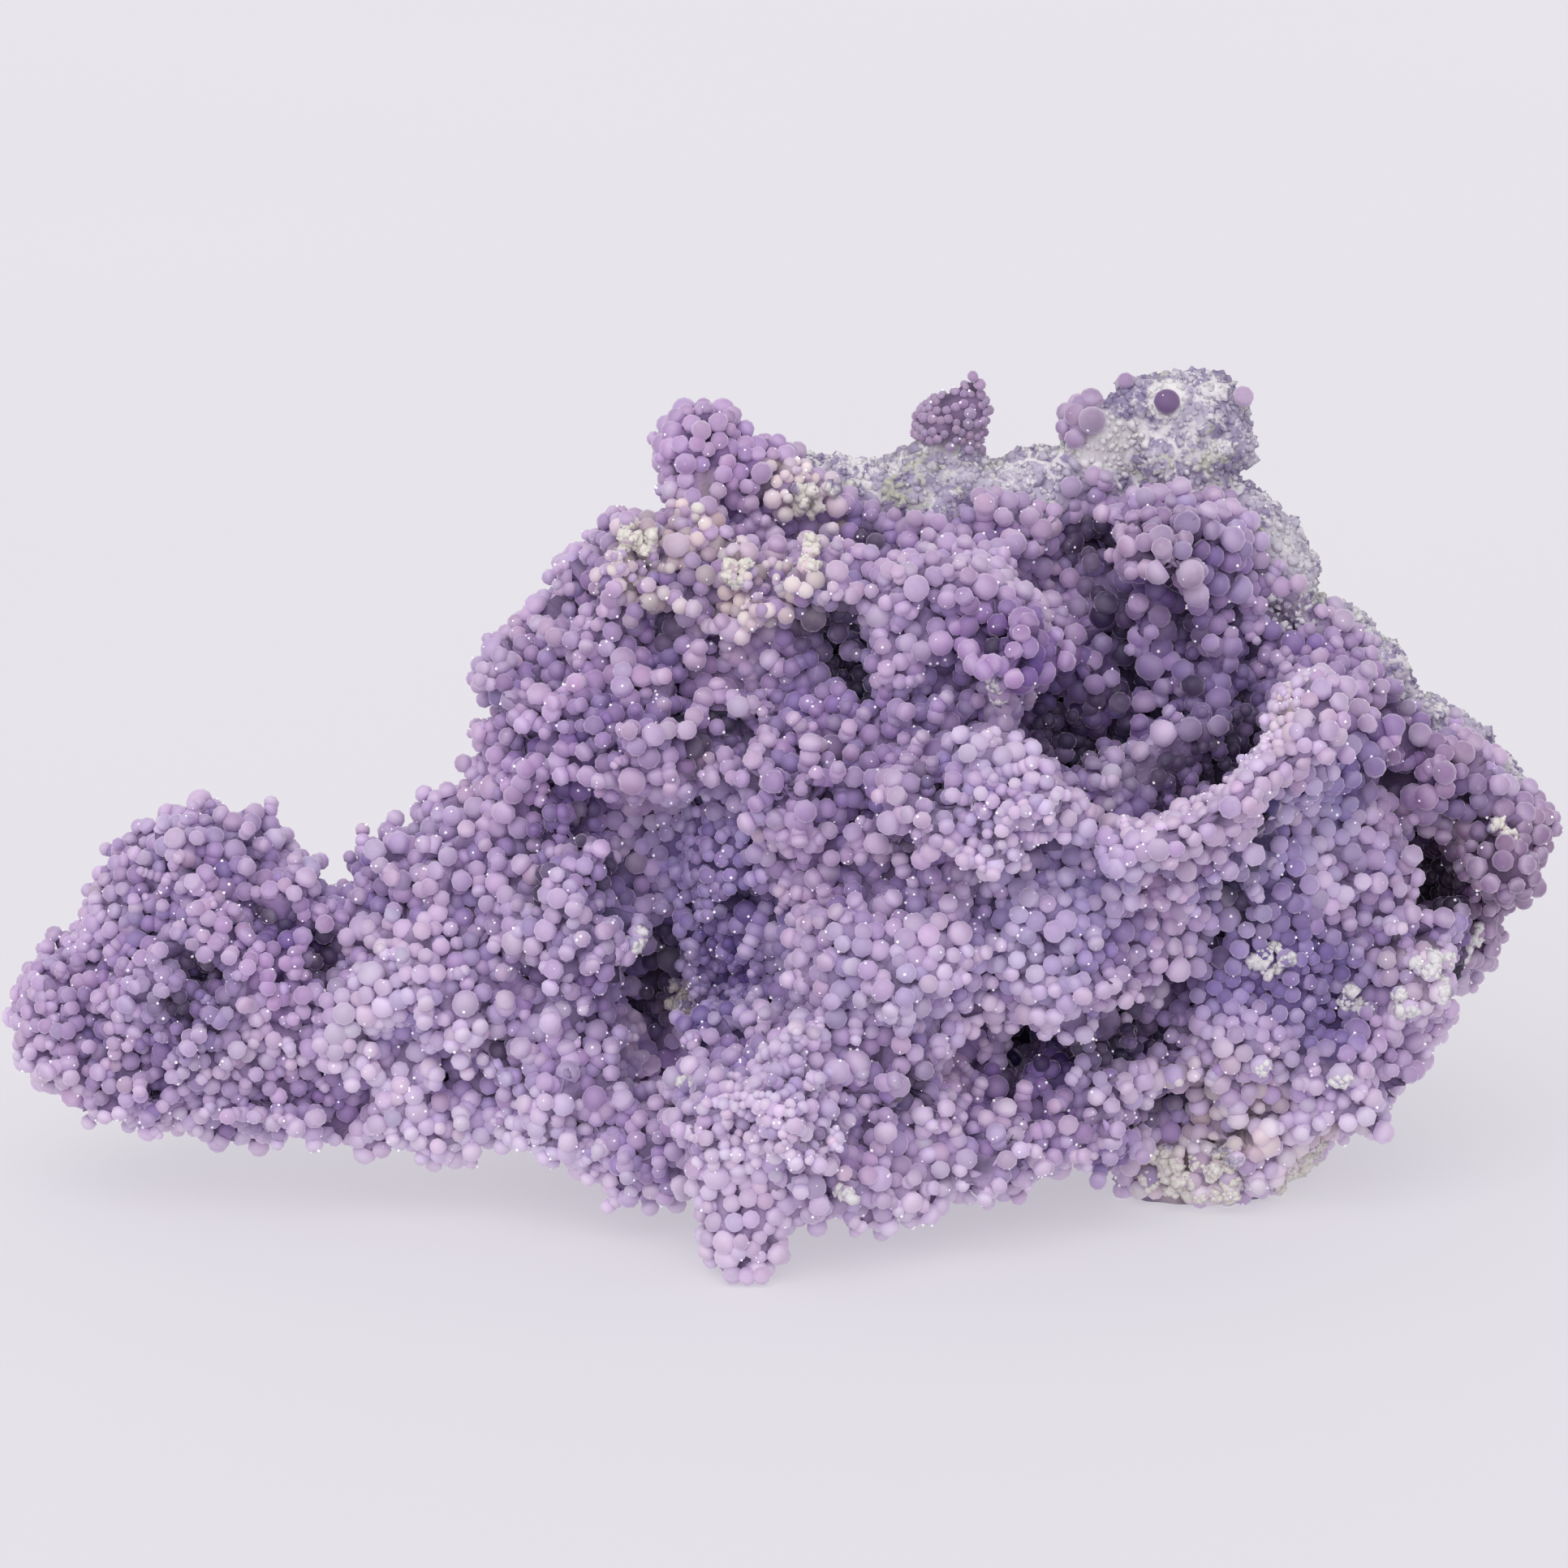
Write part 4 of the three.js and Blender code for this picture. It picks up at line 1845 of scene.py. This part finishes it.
@dataclass
class QuartzDruse:
    """Tiny eight-sided quartz crystals scattered over the spherules."""

    crust: Spherules
    count: int = 5000
    radius: float = 0.18
    extremes: Span = (0.5, 1.5)
    sway: float = 0.9
    deepest: float = 5.5
    seed: int = 9

    def build(self) -> None:
        """Makes the crystals: octahedra, each pointing along a random direction near the surface."""
        rng = np.random.default_rng(self.seed)
        host = rng.choice(np.flatnonzero(self.crust.headroom < self.deepest), self.count)
        lean = unit(rng.standard_normal((self.count, 3)))
        toward = unit(self.crust.outward[host] + self.sway * lean)
        centres = self.crust.centres[host] + toward * self.crust.radius[host][:, None]
        corners = np.concatenate([np.eye(3), -np.eye(3)])
        size = self.radius * rng.uniform(*self.extremes, (self.count, 1, 1))
        side = unit(np.cross(toward, unit(rng.standard_normal((self.count, 3)))))
        axes = np.stack([side, np.cross(toward, side), toward], axis=1)
        pointing = np.einsum("vk,nkd->nvd", corners, axes)
        batch = Batch()
        points = pointing * size + centres[:, None]
        batch.add(points, OCTAHEDRON, np.ones_like(pointing), pointing)
        add_piece("quartz_glints", batch.mesh("quartz_glints"), QuartzGlint().build())
        log.info("quartz glints: %d crystals", self.count)


# The studio


@dataclass(frozen=True)
class Studio:
    """A pale floor, soft light from above and in front, and the camera."""

    look_at: Point = (0.24, 0.49, 55.0)
    distance: float = 900.0
    elevation: float = 15.0
    frame_width: float = 200.0
    sensor: float = 36.0
    sight_m: float = 100.0
    floor_size: float = 12000.0
    sky: Colour = linear("FFFDFF")
    sky_strength: float = 0.73
    sun_from: Point = (-0.25, -0.8, 0.85)
    sun_strength: float = 1.25
    sun_width: float = 60.0

    def camera(self) -> None:
        """A camera that sees frame_width millimetres across at the point it looks at."""
        lens = bpy.data.cameras.new("camera")
        lens.sensor_width = self.sensor
        lens.lens = self.sensor * self.distance / self.frame_width
        lens.clip_end = self.sight_m
        camera = bpy.data.objects.new("camera", lens)
        bpy.context.scene.collection.objects.link(camera)
        tilt = math.radians(self.elevation)
        back = Vector((0, -math.cos(tilt), math.sin(tilt)))
        camera.location = (Vector(self.look_at) + back * self.distance) * MM
        camera.rotation_euler = (-back).to_track_quat("-Z", "Y").to_euler()
        bpy.context.scene.camera = camera

    def floor(self) -> None:
        """A wide square at the height the stone rests on."""
        half = self.floor_size / 2
        corners = np.array([[-half, -half, 0], [half, -half, 0], [half, half, 0], [-half, half, 0]])
        mesh = new_mesh("floor", corners, np.array([[0, 1, 2], [0, 2, 3]]))
        mesh.materials.append(PaleFloor().build())
        floor = bpy.data.objects.new("floor", mesh)
        bpy.context.scene.collection.objects.link(floor)
        floor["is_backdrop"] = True

    def sun(self) -> None:
        """One distant soft light, which reaches all of the floor alike."""
        light = bpy.data.lights.new("sun", "SUN")
        light.energy = self.sun_strength
        light.angle = math.radians(self.sun_width)
        sun = bpy.data.objects.new("sun", light)
        bpy.context.scene.collection.objects.link(sun)
        sun.rotation_euler = (-Vector(self.sun_from)).to_track_quat("-Z", "Y").to_euler()

    def sky_light(self) -> None:
        """Even light from all round."""
        world = bpy.data.worlds.new("studio")
        world.use_nodes = True
        background = world.node_tree.nodes["Background"]
        background.inputs["Color"].default_value = self.sky
        background.inputs["Strength"].default_value = self.sky_strength
        bpy.context.scene.world = world

    def build(self) -> None:
        """Sets up the camera, the floor and the lights."""
        self.camera()
        self.floor()
        self.sky_light()
        self.sun()
        settings = bpy.context.scene.view_settings
        settings.view_transform = "Standard"
        settings.look = "None"


def corners(box: Sequence[Vector]) -> list[list[float]]:
    """The two corners of a box as plain lists."""
    return [list(map(float, corner)) for corner in box]


def main() -> None:
    """Builds the stone and the studio, and measures how big the stone came out."""
    logging.basicConfig(level=logging.INFO, format="%(name)s: %(message)s")
    solid_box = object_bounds()
    rock = HostRock().build()
    skin = StoneBody().build(rock)
    crust = SpheruleCrust(skin).build()
    RockRubble(skin).build(rock, crust)
    QuartzDruse(crust).build()
    Studio().build()
    {"solid": corners(solid_box), "visual": corners(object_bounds())}


if __name__ == "__main__":
    main()
